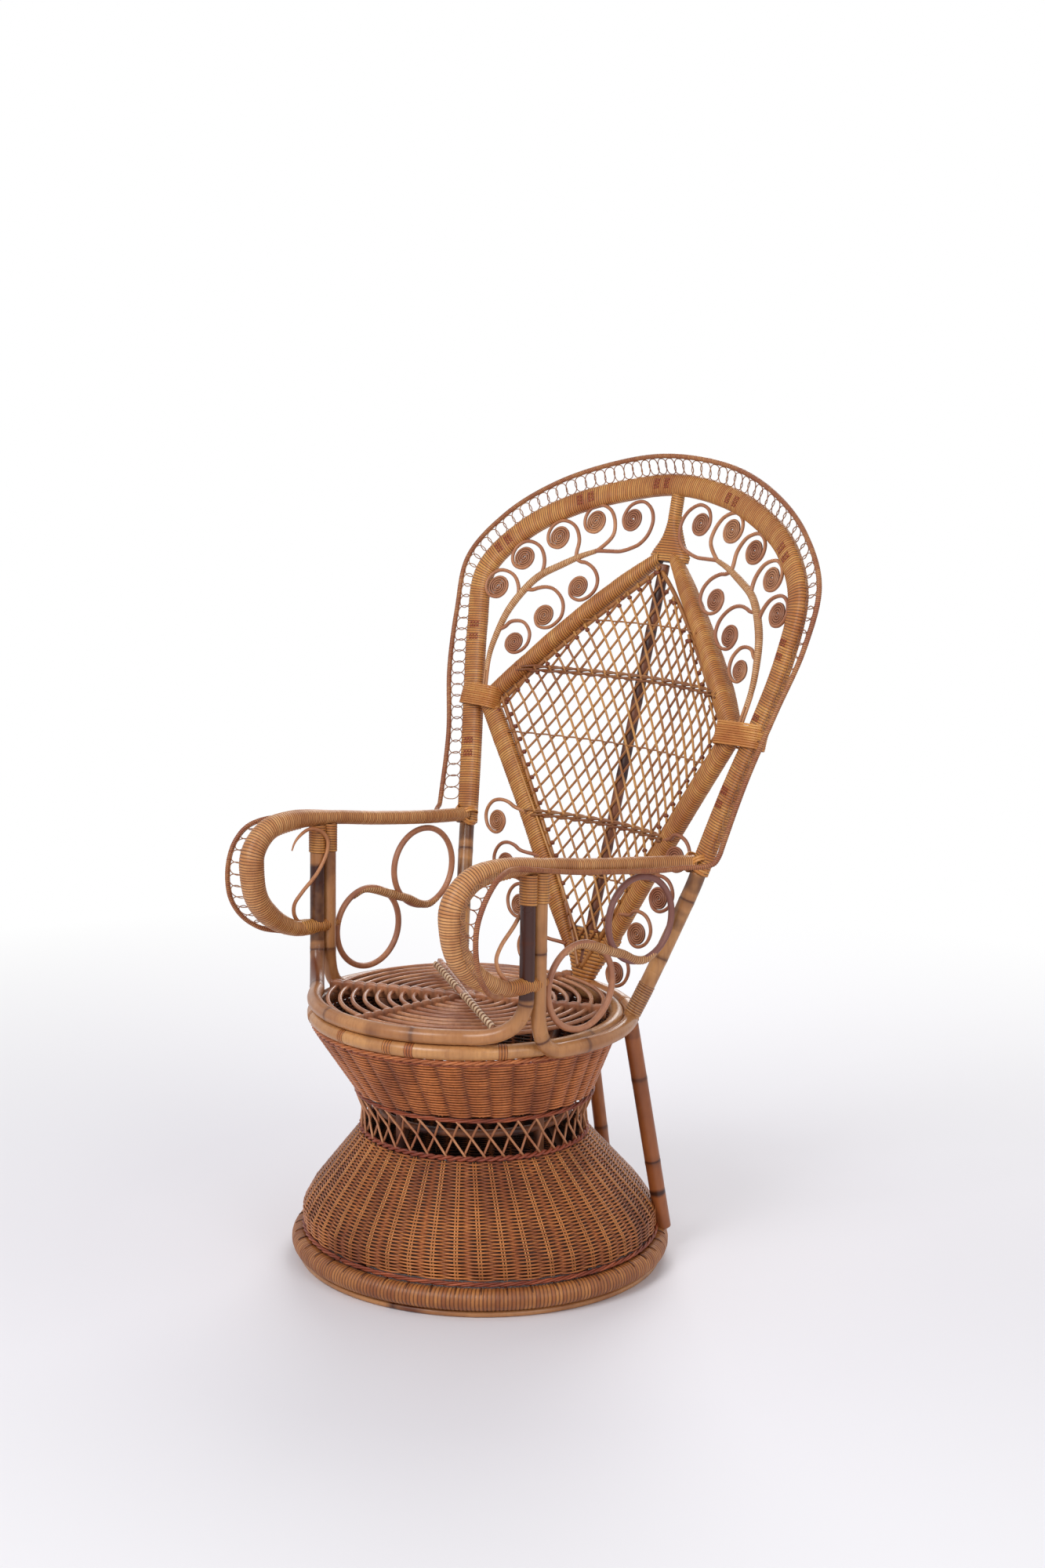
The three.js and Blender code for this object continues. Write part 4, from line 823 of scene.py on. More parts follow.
# %% Bindings of hoops and posts
RING_TURNS, REAR_TURNS = (359, 29, 62, 330, 300, 20.5), (132, 150, 228)


def short_arc(radius, turn, half):
    """Five points of a seat hoop on both sides of a turn, in degrees."""
    around = np.radians(np.linspace(turn - half, turn + half, 5))
    return np.stack([radius * np.sin(around), -SEAT_FORWARD - radius * np.cos(around),
                     np.full(5, SEAT_HEIGHT)], 1)


bindings = Bundle()
for turn in RING_TURNS:
    wind(bindings, short_arc(SEAT_RADIUS, turn, 1.6), POLE + 0.7, width=4.4, dye=0.45, ridge=0.5)
for turn in REAR_TURNS:
    wind(bindings, short_arc(rear_radius, turn, 1.3), POLE + 0.9, width=4, dye=0.3, ridge=0.6)
for hand in (-1, 1):
    for post in (FRONT_POST, REAR_POST):
        line = np.array([[hand * POST_SIDE, -post, z] for z in (POST_TOP - WRAP_HEIGHT, POST_TOP)])
        wind(bindings, line, POLE + 2.2, ridge=0.7, dye=0.12)
bindings.make("hoop_bindings", wound_cane, slot="cane")
report("bindings")

# %% [markdown]
# ## Seat panel
# Eleven round rods lie one inside the other and pass through three boards that
# cross in the middle. Each rod is a closed strand. A board is a strand too,
# with a nearly square section that stands a little higher round each rod.

# %% Seat panel
SEAT_RODS, SEAT_ROD, FIRST_ROD, ROD_PITCH = 11, 3.5, 25, 19
ROD_HEIGHT = 418
BOARD_LOW, BOARD_HIGH, BOARD_THICK = 405, 428, 8
BOARD_REACH, BOARD_STEP, BOARD_TURNS = 227.6, 2.4, (30, 90, 150)
BOARD_DIP = 2.2

panel = Bundle()
for number in range(SEAT_RODS):
    path = circle(FIRST_ROD + ROD_PITCH * number, ROD_HEIGHT, SEAT_FORWARD, 24 + 12 * number)
    panel.tube(path, SEAT_ROD, facing=(0, 0, 1), sides=10, closed=True)
panel.make("seat_panel_rods", seat_rod, ["seat_panel"], "rod")

boards = Bundle()
board_middle = np.array([0, -SEAT_FORWARD, (BOARD_LOW + BOARD_HIGH) / 2])
reach = np.arange(-BOARD_REACH, BOARD_REACH, BOARD_STEP)
from_rod = np.abs(np.mod(np.abs(reach) - FIRST_ROD + ROD_PITCH / 2, ROD_PITCH) - ROD_PITCH / 2)
half_height = (BOARD_HIGH - BOARD_LOW) / 2 - BOARD_DIP * np.clip((from_rod - 5) / 4, 0, 1)
for degrees in BOARD_TURNS:
    turn = math.radians(degrees)
    along = np.array([math.cos(turn), math.sin(turn), 0])
    # Painted shade: each board is marked darker where it dips between the rods.
    boards.tube(board_middle + reach[:, None] * along, half_height, BOARD_THICK / 2, sides=12,
                square=0.45, facing=np.cross(along, [0, 0, 1]), tone=0.6,
                mark=np.clip((from_rod - 6) / 4, 0, 1) * 0.5)
boards.make("seat_boards", seat_rod, slot="rod")
report("seat panel")

# %% [markdown]
# ## Spar
# A thin rod lies askew over the panel, whipped with pale cane at an open pitch so that the rod shows
# between the turns, painted darker there as shade, and bare for a short stretch.
# The whipping is a flat strand on a helix round the rod.

# %% Whipped spar
SPAR_ENDS = np.array([[-143, 24, 435], [208, -164, 435]], float)
SPAR_ROD, WHIP_HALF, WHIP_THICK = 4.3, 4.3, 0.6
WHIP_PITCH, BARE = 16, (0.40, 0.50)

spar_share = np.linspace(0, 1, 61)
rod, spar = Bundle(), Bundle()
# Painted shade: the rod is marked darker under the whipping and left plain in the bare stretch.
rod.tube(at_share(SPAR_ENDS, spar_share), SPAR_ROD, sides=12, tone=0.8,
         mark=np.where((spar_share > BARE[0]) & (spar_share < BARE[1]), 0.0, 0.5))
rod.make("spar_rod", scroll_rod, slot="rod")
spar_length = lengths(SPAR_ENDS)[-1]
spar_along = unit(SPAR_ENDS[1] - SPAR_ENDS[0])
spar_side = unit(np.cross([0, 0, 1], spar_along))
for start, end in ((0.01, BARE[0]), (BARE[1], 0.99)):
    along = np.arange(start * spar_length, end * spar_length, 1.2)[:, None]
    turn = 2 * math.pi * along / WHIP_PITCH
    outside = spar_side * np.cos(turn) + np.array([0, 0, 1]) * np.sin(turn)
    path = SPAR_ENDS[0] + spar_along * along + outside * (SPAR_ROD + WHIP_THICK)
    spar.tube(path, WHIP_HALF, WHIP_THICK, facing=outside, sides=6, tone=0.3)
spar.make("whipped_spar_winding", whip_cane, ["whipped_spar"], "cane")
report("spar")

# %% [markdown]
# ## Back
# The leaning back is a shallow bowed surface. Points on it are given by side
# and height, with a small set-back where a piece lies in front or behind. All
# of the back is drawn flat, as one sees it, and one function bends it on to
# this surface, so that frame, kite and scrolls stay in touch.

# %% Back surface
BACK_FOOT_HEIGHT, BACK_FOOT_PLACE = 400, 141.1
BACK_LEAN = math.radians(18.49)
BACK_BOW = 0.00043557


def back_point(side, height, set_back=0):
    side, height, set_back = np.broadcast_arrays(np.asarray(side, float), height, set_back)
    place = BACK_FOOT_PLACE + (height - BACK_FOOT_HEIGHT) * math.tan(BACK_LEAN)
    return np.stack([side, place - BACK_BOW * side ** 2 + set_back, height], -1)


def back_facing(path):
    """The way that the back's front looks at each point of a path."""
    bow = 2 * BACK_BOW * path[:, 0]
    return unit(np.stack([-bow, np.full(len(path), -1.0), np.full(len(path), math.tan(BACK_LEAN))], 1))


def round_back(shares, half_width, rise, depth, step):
    """A curve round the whole back from shares of (half width, rise, set-back) on one side."""
    shares = np.asarray(shares, float)
    height = BACK_FOOT_HEIGHT + rise * shares[:, 1] * math.cos(BACK_LEAN)
    right = back_point(shares[:, 0] * half_width, height, shares[:, 2] * depth)
    return smooth(np.vstack([mirrored(right[:0:-1], -1), right]), step)


print("the back's top lies", round(back_point(0, 1240)[1] - BACK_FOOT_PLACE), "mm behind its foot")

# %% [markdown]
# ## Wound frame
# Two poles side by side, wound together, make the frame, so its section is
# wide, flat and rounded. `square` below 1 squares the section: the cosine and
# sine of its outline are raised to that power.

# %% Wound frame of the back
FRAME_SHARES = (
    (0, 1, 0.12), (0.3025, 0.984, 0.2), (0.587, 0.95, 0), (0.839, 0.892, 0.12), (1, 0.805, 0.26),
    (0.985, 0.688, 0.57), (0.922, 0.566, 0.59), (0.843, 0.44, 0.47), (0.76, 0.286, 0.49))
FRAME_HALF_WIDTH, FRAME_RISE, FRAME_DEPTH = 354, 851, 24
FRAME_HALF_WIDE, FRAME_HALF_DEEP, FRAME_SQUARE = 18.6, 12, 0.78
FRAME_CANE = 4.3

frame_path = round_back(FRAME_SHARES, FRAME_HALF_WIDTH, FRAME_RISE, FRAME_DEPTH, 4)
back_frame = Bundle()
wind(back_frame, frame_path, FRAME_HALF_WIDE, FRAME_HALF_DEEP, back_facing, sides=22,
     width=FRAME_CANE, ridge=0.55, lean=1.0, square=FRAME_SQUARE)
back_frame.make("back_frame_winding", wound_cane, ["back_frame"], "cane")
report("frame")

# %% [markdown]
# Red-brown strips are stitched through the winding in groups of little
# crosses. Each stitch is a short flat strand that follows the front of the
# rounded section, which `surface_lift` works out.

# %% Stitches across the frame
STITCH_SHARES = (0.075, 0.194, 0.290, 0.392, 0.485, 0.586, 0.693, 0.790, 0.86, 0.93)
GROUP_OFFSETS, PAIR_OFFSETS, CROSS_PLACES = (-11, 11), (-3.1, 3.1), (-6.5, -0.5, 5.5)
CROSS_HALF_WIDE, CROSS_HALF_TALL = 2.3, 2.2
steps = np.linspace(-1, 1, 4)


def local_frame(path, share, facing):
    """A path's point, its direction, the way out and the way across at a share of its length."""
    near = at_share(path, np.array([share - 0.001, share, share + 0.001]))
    along = unit(near[2] - near[0])
    out = facing(near)[1]
    out = unit(out - along * out.dot(along))
    return near[1], along, out, np.cross(out, along)


def surface_lift(across, half_wide, half_deep, square):
    """How far the front of a rounded section stands off its middle."""
    ratio = np.clip(np.abs(across) / half_wide, 0, 0.999)
    return half_deep * (1 - ratio ** (2 / square)) ** (square / 2)


stitches = Bundle()
for share in STITCH_SHARES:
    middle, along, out, across = local_frame(frame_path, share, back_facing)
    for group in GROUP_OFFSETS:
        for pair in PAIR_OFFSETS:
            for side in CROSS_PLACES:
                sides = side + CROSS_HALF_WIDE * steps
                lift = surface_lift(sides, FRAME_HALF_WIDE, FRAME_HALF_DEEP, FRAME_SQUARE) + 0.2
                for way in (-1, 1):
                    run = group + pair + way * CROSS_HALF_TALL * steps
                    path = (middle + along * run[:, None] + across * sides[:, None]
                            + out * lift[:, None])
                    stitches.tube(path, 0.8, 0.5, facing=out, sides=6, dye=1)
stitches.make("frame_stitches", wound_cane, slot="cane")
report("stitches")

# %% [markdown]
# ## Kite
# The kite stands a little in front of the frame at its sides and on the frame
# at its top. Its right rail is two gently bent lines that meet at the side
# corner, and the left rail mirrors it. `set_aside` moves a rail inward and
# back, which places the poles that lie behind the first line.

# %% Lines of the kite
KITE_SIDE, KITE_SIDE_PLACE, KITE_SIDE_HEIGHT = 283.6, 248, 841.2
KITE_TOP_PLACE, KITE_TOP_HEIGHT = 392, 1097.5
KITE_FOOT_PLACE, KITE_FOOT_HEIGHT = 212, 403
STEM_HALF, FOOT_HALF = 7, 13
UPPER_BULGE, LOWER_HOLLOW = 8.5, 5.2


def kite_line(height):
    """Place of the kite's middle line at a height."""
    share = (np.asarray(height, float) - KITE_FOOT_HEIGHT) / (KITE_TOP_HEIGHT - KITE_FOOT_HEIGHT)
    return KITE_FOOT_PLACE + (KITE_TOP_PLACE - KITE_FOOT_PLACE) * share


def bent(start, end, bulge, count=60):
    """A line bent by a bulge at its middle."""
    start, end = np.array(start, float), np.array(end, float)
    middle = (start + end) / 2 + 2 * np.array(bulge, float)
    t = np.linspace(0, 1, count)[:, None]
    return (1 - t) ** 2 * start + 2 * t * (1 - t) * middle + t * t * end


side_corner = (KITE_SIDE, KITE_SIDE_PLACE, KITE_SIDE_HEIGHT)
upper_rail = bent((STEM_HALF, KITE_TOP_PLACE, KITE_TOP_HEIGHT), side_corner,
                  (UPPER_BULGE, -UPPER_BULGE, UPPER_BULGE))
lower_rail = bent(side_corner, (FOOT_HALF, KITE_FOOT_PLACE, KITE_FOOT_HEIGHT),
                  (-LOWER_HOLLOW, 0, LOWER_HOLLOW))
rail_line = np.vstack([upper_rail, lower_rail[1:]])
rail_order = np.argsort(rail_line[:, 2])


def rail_at(height):
    """Side and place of the right rail at a height."""
    line = rail_line[rail_order]
    return np.stack([np.interp(height, line[:, 2], line[:, k]) for k in (0, 1)], -1)


def set_aside(path, inward, back):
    """The rail moved toward the kite's middle and back, both by amounts along its length."""
    share = np.linspace(0, 1, len(path))
    inward, back = (np.interp(share, np.linspace(0, 1, len(v)), v)[:, None] for v in (inward, back))
    side = unit(np.cross(tangents(path, False), back_facing(path)))
    return path + side * inward + np.array([0, 1, 0]) * back


print("kite:", 2 * KITE_SIDE, "mm wide,", KITE_TOP_HEIGHT - KITE_FOOT_HEIGHT, "mm tall")

# %% [markdown]
# The rails are several poles wound together: two in front and more behind, so
# the sections are deep. The half widths and depths below are even steps along
# each rail, from its top to its foot, because the rails taper at both ends.
# The turns lean, as winding does on a slope.

# %% Rails of the kite
UPPER_INWARD, UPPER_BACK = (2, 6, 7.5, 7.5, 4), (9, 15, 19, 19, 9)
UPPER_WIDE, UPPER_DEEP = (10, 15, 15.5, 15.5, 15.5, 14), (11, 15.5, 18, 20, 20, 15)
LOWER_INWARD, LOWER_BACK = (1.5, 1.5), (5, 10, 10)
LOWER_WIDE, LOWER_DEEP = (17, 18, 17.5, 17, 16.5, 16, 9), (13, 13.5, 13.5, 13, 13, 10)
RAIL_CANE = 4.1

kite = Bundle()
for hand in (-1, 1):
    upper = mirrored(set_aside(upper_rail[2:], UPPER_INWARD, UPPER_BACK), hand)
    wind(kite, upper, UPPER_WIDE, UPPER_DEEP, back_facing, sides=20, width=RAIL_CANE,
         ridge=1.1, lean=-hand * 5.0, square=0.85, seed=hand)
    lower = mirrored(set_aside(lower_rail[:-6], LOWER_INWARD, LOWER_BACK), hand)
    wind(kite, lower, LOWER_WIDE, LOWER_DEEP, back_facing, sides=20, width=RAIL_CANE,
         ridge=1.2, lean=hand * 2.4, square=0.85, seed=hand + 3)
print("rails:", kite.count, "points")

# %% [markdown]
# A wound stem joins the kite's top to the frame. Below it the winding spreads
# over both rails as a web, and another web closes the foot. They are single
# wide windings whose half width grows or shrinks along the path, with their
# front turned slightly up like the back.

# %% Stem and webs
STEM_FOOT, STEM_WIDE, STEM_DEEP = 1152, 11.2, 10.5
TOP_WEB_DROP, FOOT_WEB_RISE = 16, 84
TOP_WEB_WIDE = (11.2, 11.8, 14, 17.5, 22, 28, 36, 42, 40)
TOP_WEB_DEEP = (10.5, 11, 12, 12.5, 13, 13.5, 14, 14, 14)
FOOT_WEB_WIDE = (66, 66, 58, 49, 41, 33, 27, 21.5, 20)
FOOT_WEB_DEEP = (12.5, 13, 13.5, 13.5, 13, 12.5, 12)

web_foot = KITE_TOP_HEIGHT - TOP_WEB_DROP
web_top = KITE_FOOT_HEIGHT + FOOT_WEB_RISE
stem_top = frame_path[np.argmax(frame_path[:, 2])] - [0, 0, FRAME_HALF_WIDE - 4]
stem = np.array([stem_top, [0, kite_line(STEM_FOOT) + 2, STEM_FOOT]])
wind(kite, stem, STEM_WIDE, STEM_DEEP, back_facing, sides=16, width=4.2, ridge=0.9, square=0.85)
web = np.array([[0, kite_line(h) + push, h] for h, push in ((STEM_FOOT + 6, 2), (1120, 8), (web_foot, 10))])
wind(kite, web, TOP_WEB_WIDE, TOP_WEB_DEEP, np.array([0, -1, 0.3]), sides=28, width=4.4,
     ridge=1.0, lean=0.4, square=0.8)
foot = np.array([[0, kite_line(h) + 5, h] for h in (web_top, KITE_FOOT_HEIGHT - 4)])
wind(kite, foot, FOOT_WEB_WIDE, FOOT_WEB_DEEP, np.array([0, -1, 0.2]), sides=28, width=6.0,
     ridge=1.4, lean=0.5, square=0.66)
kite.make("kite_frame_winding", wound_cane, ["kite_frame"], "cane")
report("kite")

# %% [markdown]
# ## Side lashings
# At each side corner a broad lashing ties the kite to the frame. It is laid as
# flat loops side by side, each a closed strand on a rounded oblong, and each
# a little different in size.

# %% Side lashings
LASHING_TALL, LASHING_DEEP = 37, 16.6
LOOP_POINTS = 40


def band(bundle, centre, across, out, half_across, half_out, height, strip=3.8, square=0.6):
    """Flat cane laid round two pieces in loops side by side."""
    across, out = unit(np.asarray(across, float)), np.asarray(out, float)
    out = unit(out - across * out.dot(across))
    along = np.cross(across, out)
    loops = max(1, round(height / strip))
    turn = 2 * np.pi * (np.arange(LOOP_POINTS) + 0.5) / LOOP_POINTS
    c = (np.sign(np.cos(turn)) * np.abs(np.cos(turn)) ** square)[:, None]
    s = (np.sign(np.sin(turn)) * np.abs(np.sin(turn)) ** square)[:, None]
    for k in range(loops):
        level = (k + 0.5) * height / loops - height / 2
        wander = 0.35 * (rng.random() - 0.5)
        ring = (centre + across * (half_across + wander) * c + out * (half_out + wander) * s
                + along * level)
        bundle.tube(ring, height / loops / 2 - 0.1, 0.8, facing=across * c + out * s, sides=8,
                    closed=True, square=0.8)


slope_up = np.array([0, math.sin(BACK_LEAN), math.cos(BACK_LEAN)])
frame_right = frame_path[len(frame_path) // 2:]
for hand, name in ((-1, "left"), (1, "right")):
    lashing = Bundle()
    corner = np.array([hand * KITE_SIDE, KITE_SIDE_PLACE, KITE_SIDE_HEIGHT])
    beside = mirrored(frame_right[np.argmin(np.abs(frame_right[:, 2] - KITE_SIDE_HEIGHT))], hand)
    outer = beside + [hand * (FRAME_HALF_WIDE + 1.8), 0, 0]
    inner_end = corner - [hand * 29, 0, 0]
    across = outer - inner_end
    band(lashing, (outer + inner_end) / 2, across, np.cross(across, slope_up) * -hand,
         np.linalg.norm(across) / 2, LASHING_DEEP, LASHING_TALL)
    lashing.make(f"side_lashing_{name}_cane", wound_cane, [f"side_lashing_{name}"], "cane")
report("side lashings")

# %% [markdown]
# ## Centre pole
# Behind the lattice a dark pole runs from the kite's foot to its top. The net
# is tied to it, and is bowed back from the rails to reach it.

# %% Centre pole
CENTRE_POLE = 9
centre = np.array([[0, float(kite_line(h)), h] for h in (KITE_FOOT_HEIGHT + 30, KITE_TOP_HEIGHT - 20)])
centre_pole = Bundle()
pole(centre_pole, resample(centre, 4), CENTRE_POLE, (0.13, 0.29, 0.47, 0.66, 0.83), sides=12,
     burns=((0.1, 0.95, 0.42),))
centre_pole.make("centre_pole_skin", dark_pole, ["centre_pole"], "pole")
report("centre pole")

# %% [markdown]
# ## Lattice
# Two sets of straight rods cross in slim diamonds. A thinner rod follows the
# inner edge of the rails, and each lattice rod ends there in a dark knot of
# cane. The rods are laid flat by side and height, cut off where they meet the
# inner rod, and then bowed back.

# %% Lattice
LATTICE_ROD, LATTICE_PITCH, LATTICE_RUN, LATTICE_REACH = 2.1, 26.5, 0.69, 28
INNER_EDGE, INNER_ROD = 27, 3.8
KNOT_HALF, KNOT_SIZES = 3.4, np.array([2.4, 4.6, 2.4])

inner_line = set_aside(rail_line, [INNER_EDGE, INNER_EDGE, INNER_EDGE - 5, INNER_EDGE - 6], [0, 3])
inner_line = inner_line[inner_line[:, 0] > 2]
inner_order = np.argsort(inner_line[:, 2])


def inner_at(height):
    """Side of the right inner rod at a height, nothing above and below it."""
    line = inner_line[inner_order]
    return np.interp(height, line[:, 2], line[:, 0], left=0, right=0)


def lattice_point(side, height, layer=0):
    """Bowed back from the rails to the pole; layer counts rods forward of the middle one."""
    rail = rail_at(height)
    middle = kite_line(height) - CENTRE_POLE - LATTICE_ROD - 0.3
    forward = np.maximum(middle - rail[..., 1], 0)
    share = np.clip(np.abs(side) / rail[..., 0], 0, 1)
    return np.stack([side, middle - forward * share ** 2 - layer * 2 * LATTICE_ROD, height], -1)


net, ties = Bundle(), Bundle()
heights = np.arange(web_top - 30, web_foot + 14, 1.0)
for way in (-1, 1):
    for number in range(-LATTICE_REACH, LATTICE_REACH + 1):
        sides = number * LATTICE_PITCH + way * LATTICE_RUN * (heights - KITE_SIDE_HEIGHT)
        inside = np.abs(sides) < inner_at(heights) + 3
        if inside.sum() < 12:
            continue
        line = lattice_point(sides[inside], heights[inside], (way < 0) * 1.0)
        line[:, 0] += np.sin(np.arange(len(line)) / 60 + number) * 0.8
        line = resample(line, 9)
        net.tube(line, LATTICE_ROD * (0.94 + 0.12 * rng.random()), sides=8,
                 dye=0.0 if way < 0 else 0.18, tone=(0.1 if way < 0 else 0.55) + 0.35 * rng.random())
        for end, within in ((0, 3), (-1, -4)):
            run = line[within] - line[end]
            knot = line[end] + run * 0.45
            ties.tube(np.stack([knot + unit(run) * off for off in (-KNOT_HALF, 0, KNOT_HALF)]),
                      KNOT_SIZES, sides=8, dye=0.8, mark=0.5)
behind = lattice_point(inner_line[:, 0], inner_line[:, 2]) + [0, LATTICE_ROD + INNER_ROD * 0.4, 0]
for hand in (-1, 1):
    net.tube(resample(mirrored(behind, hand), 5), INNER_ROD, sides=10, dye=0.25, tone=0.6)
net.make("lattice_rods", lattice_cane, ["back_lattice"], "rod")
ties.make("lattice_ties", wound_cane, slot="cane")
report("lattice")

# %% [markdown]
# Five bars cross the net. Two are thick, each four rods twined through the
# diamonds, and three are single thin rods that pass over and under. A swing in
# depth at the lattice's own pitch puts every crossing where the rods are.

# %% Cross bars
BAR_ROWS = ((982, False), (895, True), (788, False), (661, True), (576, False))
TWINED_RODS = ((0, 3.4), (np.pi, 3.4), (0.9, -3.0), (0.9 + np.pi, -3.0))
TWINED_SWING, THIN_SWING, THIN_ROD = 5.6, 3.4, 1.5

bars = Bundle()
for height, thick in BAR_ROWS:
    reach = float(rail_at(height)[0]) - 6
    side = np.linspace(-reach, reach, max(12, round(reach / 2)))
    path = lattice_point(side, np.full(len(side), float(height)), 0.5)
    level_side = np.zeros(len(side))
    if thick:
        for start, level in TWINED_RODS:
            phase = np.pi * side / LATTICE_PITCH + start
            swing = np.stack([level_side, -TWINED_SWING * np.cos(phase), level + 1.6 * np.sin(phase)], 1)
            bars.tube(path + swing, LATTICE_ROD, sides=8, dye=0.55,
                      mark=np.clip(np.cos(phase), 0, 1) * 0.35)
    else:
        over = THIN_SWING * np.cos(2 * np.pi * side / LATTICE_PITCH)
        bars.tube(path + np.stack([level_side, over, level_side], 1), THIN_ROD, sides=6, tone=1, mark=0.2)
bars.make("lattice_bars", lattice_cane, slot="rod")
report("cross bars")

# %% [markdown]
# ## Branches
# A wound branch rises on each side between frame and kite, and carries eight
# scrolls. It is drawn on the left of the back, as shares of its width and
# rise, and mirrored for the right.

# %% Line of a branch
BRANCH_HALF_WIDTH, BRANCH_FOOT, BRANCH_RISE = 300, 846, 247
BRANCH_SHARES = np.array(((0.97, 0), (1, 0.25), (0.993, 0.37), (0.953, 0.562), (0.873, 0.725),
                          (0.8, 0.814), (0.673, 0.895), (0.55, 0.963), (0.46, 1)))
BRANCH_SIZES = (4.2, 5.6, 6.6, 6.6, 6, 4.2)
left_branch = smooth(back_point(-BRANCH_SHARES[:, 0] * BRANCH_HALF_WIDTH,
                                BRANCH_FOOT + BRANCH_SHARES[:, 1] * BRANCH_RISE), 4)
cos_lean = math.cos(BACK_LEAN)
print("branch:", round(lengths(left_branch)[-1]), "mm long")

# %% [markdown]
# ## Scrolls
# Each scroll is a rod that leaves the branch, swings round an open loop and
# winds into a flat disc of four and a half turns. Its outline is worked out in
# the flat: first the tail on the branch, then the loop as a few (turn, radius)
# pairs about the disc's middle, then a spiral whose radius falls evenly. The
# back leans, so heights are shortened by the lean's cosine.
#
# The discs show fine dark lines between their turns. The rod's flanks are
# marked dark there, more than on the loop, to stand for the shade in the gaps.

# %% Outline of a scroll
SCROLL_ROD, SCROLL_TURNS = 2.1, 4.5
DISC_START, DISC_HOLE, DISC_ABOUT = 0.5, 1.2, 18.5
ROOT_RUN = 12
SPIRAL_POINTS = 16
LOOP_FLANKS, DISC_FLANKS = 0.3, 0.95


def off_branch(centre, loop):
    """Where a scroll leaves the branch, found by running its loop's start straight back."""
    turn = np.radians([v[0] for v in loop[:2]])
    radius = np.array([v[1] for v in loop[:2]])
    start, after = np.stack([centre[0] + radius * np.cos(turn),
                             centre[1] + radius * np.sin(turn) * cos_lean], 1)
    flat = left_branch[:, [0, 2]]
    near = np.argmin(np.linalg.norm(flat - start + ROOT_RUN * unit(after - start), axis=1))
    return [flat[max(near - 3, 0)], flat[near]]


def scroll_outline(centre, loop, way, tail):
    """Tail points, then an open loop of (turn, radius) about the centre, then the disc."""
    last_turn, last_radius = loop[-1]
    disc = last_radius - DISC_START
    pitch = (disc - DISC_HOLE) / SCROLL_TURNS
    spiral = list(loop)
    for i in range(2, int(SCROLL_TURNS * SPIRAL_POINTS) + 1):
        spiral.append((last_turn + way * 360 / SPIRAL_POINTS * i, disc - pitch * i / SPIRAL_POINTS))
    turn, radius = np.radians([v[0] for v in spiral]), np.array([v[1] for v in spiral])
    wound = np.stack([centre[0] + radius * np.cos(turn),
                      centre[1] + radius * np.sin(turn) * cos_lean], 1)
    return np.vstack([np.asarray(tail, float), wound])


def scroll_path(outline, place_at):
    flat = smooth(np.stack([outline[:, 0], 0 * outline[:, 0], outline[:, 1]], 1), 2.2)
    return place_at(flat[:, 0], flat[:, 2])


def scroll_sizes(path, thick):
    """Half thickness and flank mark along a scroll, from its thick tail to its disc."""
    s = lengths(path)
    loop = s[-1] - math.pi * DISC_ABOUT * SCROLL_TURNS
    sizes = np.interp(s, [0, loop - 20, loop + 50], [thick, thick * 0.84, SCROLL_ROD])
    return sizes[:, None], np.interp(s, [loop, loop + 50], [LOOP_FLANKS, DISC_FLANKS])


print("a disc winds", SCROLL_TURNS, "turns of a rod", 2 * SCROLL_ROD, "mm thick")

# %% [markdown]
# The loops differ with the place on the branch. Five outer scrolls open away
# from it and share a loop but for the one at the tip, three inner ones turn
# the other way, and four more hang off each lower rail of the kite.

# %% Loops of the scrolls
OUTER_LOOP = ((-28, 49), (-4, 42.3), (33, 34.5), (69, 29.9), (100, 28.8), (133, 26.6), (164, 24),
              (199, 21.6), (235, 19.8))
TIP_LOOP = ((-72, 50), (-55, 49.5), (-30, 48), (0, 45), (30, 40), (66, 34), (110, 26.5),
            (150, 21.5), (185, 19.6))
LOW_LOOP = ((135, 36.7), (117, 39), (94, 38), (74, 36.6), (53, 33.5), (30, 30.9), (0, 26.8),
            (-30, 22.3), (-65, 19.2), (-100, 17.5))
INNER_LOOP = ((130, 56.7), (119, 53.9), (102, 51), (82, 47.2), (56, 42.3), (30, 39), (2, 35),
              (-23, 28.9), (-51, 24.5), (-91, 20.4), (-125, 19))
HIGH_LOOP = ((102, 44.9), (85, 42.5), (54, 39.8), (24, 38.9), (0, 36.3), (-27, 30.3), (-66, 24.1),
             (-104, 20.3), (-140, 19))
LOWER_LOOP = ((46, 37), (66, 37.6), (87, 37.5), (114, 36), (141, 33), (168, 29.6), (208, 24.4),
              (261, 21), (305, 19.2))
UPPER_SCROLLS = (
    ("outer_scroll_1", 317.7, 1024.5, OUTER_LOOP, 1), ("outer_scroll_2", 281, 1075, OUTER_LOOP, 1),
    ("outer_scroll_3", 221.1, 1112.4, OUTER_LOOP, 1), ("outer_scroll_4", 154.3, 1141.2, OUTER_LOOP, 1),
    ("outer_scroll_5", 77.4, 1148, TIP_LOOP, 1), ("inner_scroll_1", 257.5, 934, LOW_LOOP, -1),
    ("inner_scroll_2", 211, 981.5, INNER_LOOP, -1), ("inner_scroll_3", 155.5, 1032.5, HIGH_LOOP, -1))
LOWER_SCROLLS = (("lower_scroll_1", 207.1, 211.5, 641.6), ("lower_scroll_2", 179, 205.7, 573.3),
                 ("lower_scroll_3", 137.9, 200.9, 509.8), ("lower_scroll_4", 99.8, 192, 440))
TIP_TAIL = ((-110, 1094.3), (-86, 1095.5))
print("scrolls a side:", len(UPPER_SCROLLS), "upper,", len(LOWER_SCROLLS), "lower")

# %% [markdown]
# Each scroll is a piece of its own and replaces its own node. The upper ones
# lie on the back's surface. The lower ones start on the rail, which stands
# further forward, and settle back to their own plane along the loop.

# %% Branches and their scrolls
SETTLE_RUN = 64
UPPER_THICK, LOWER_THICK = 3.5, 3.4


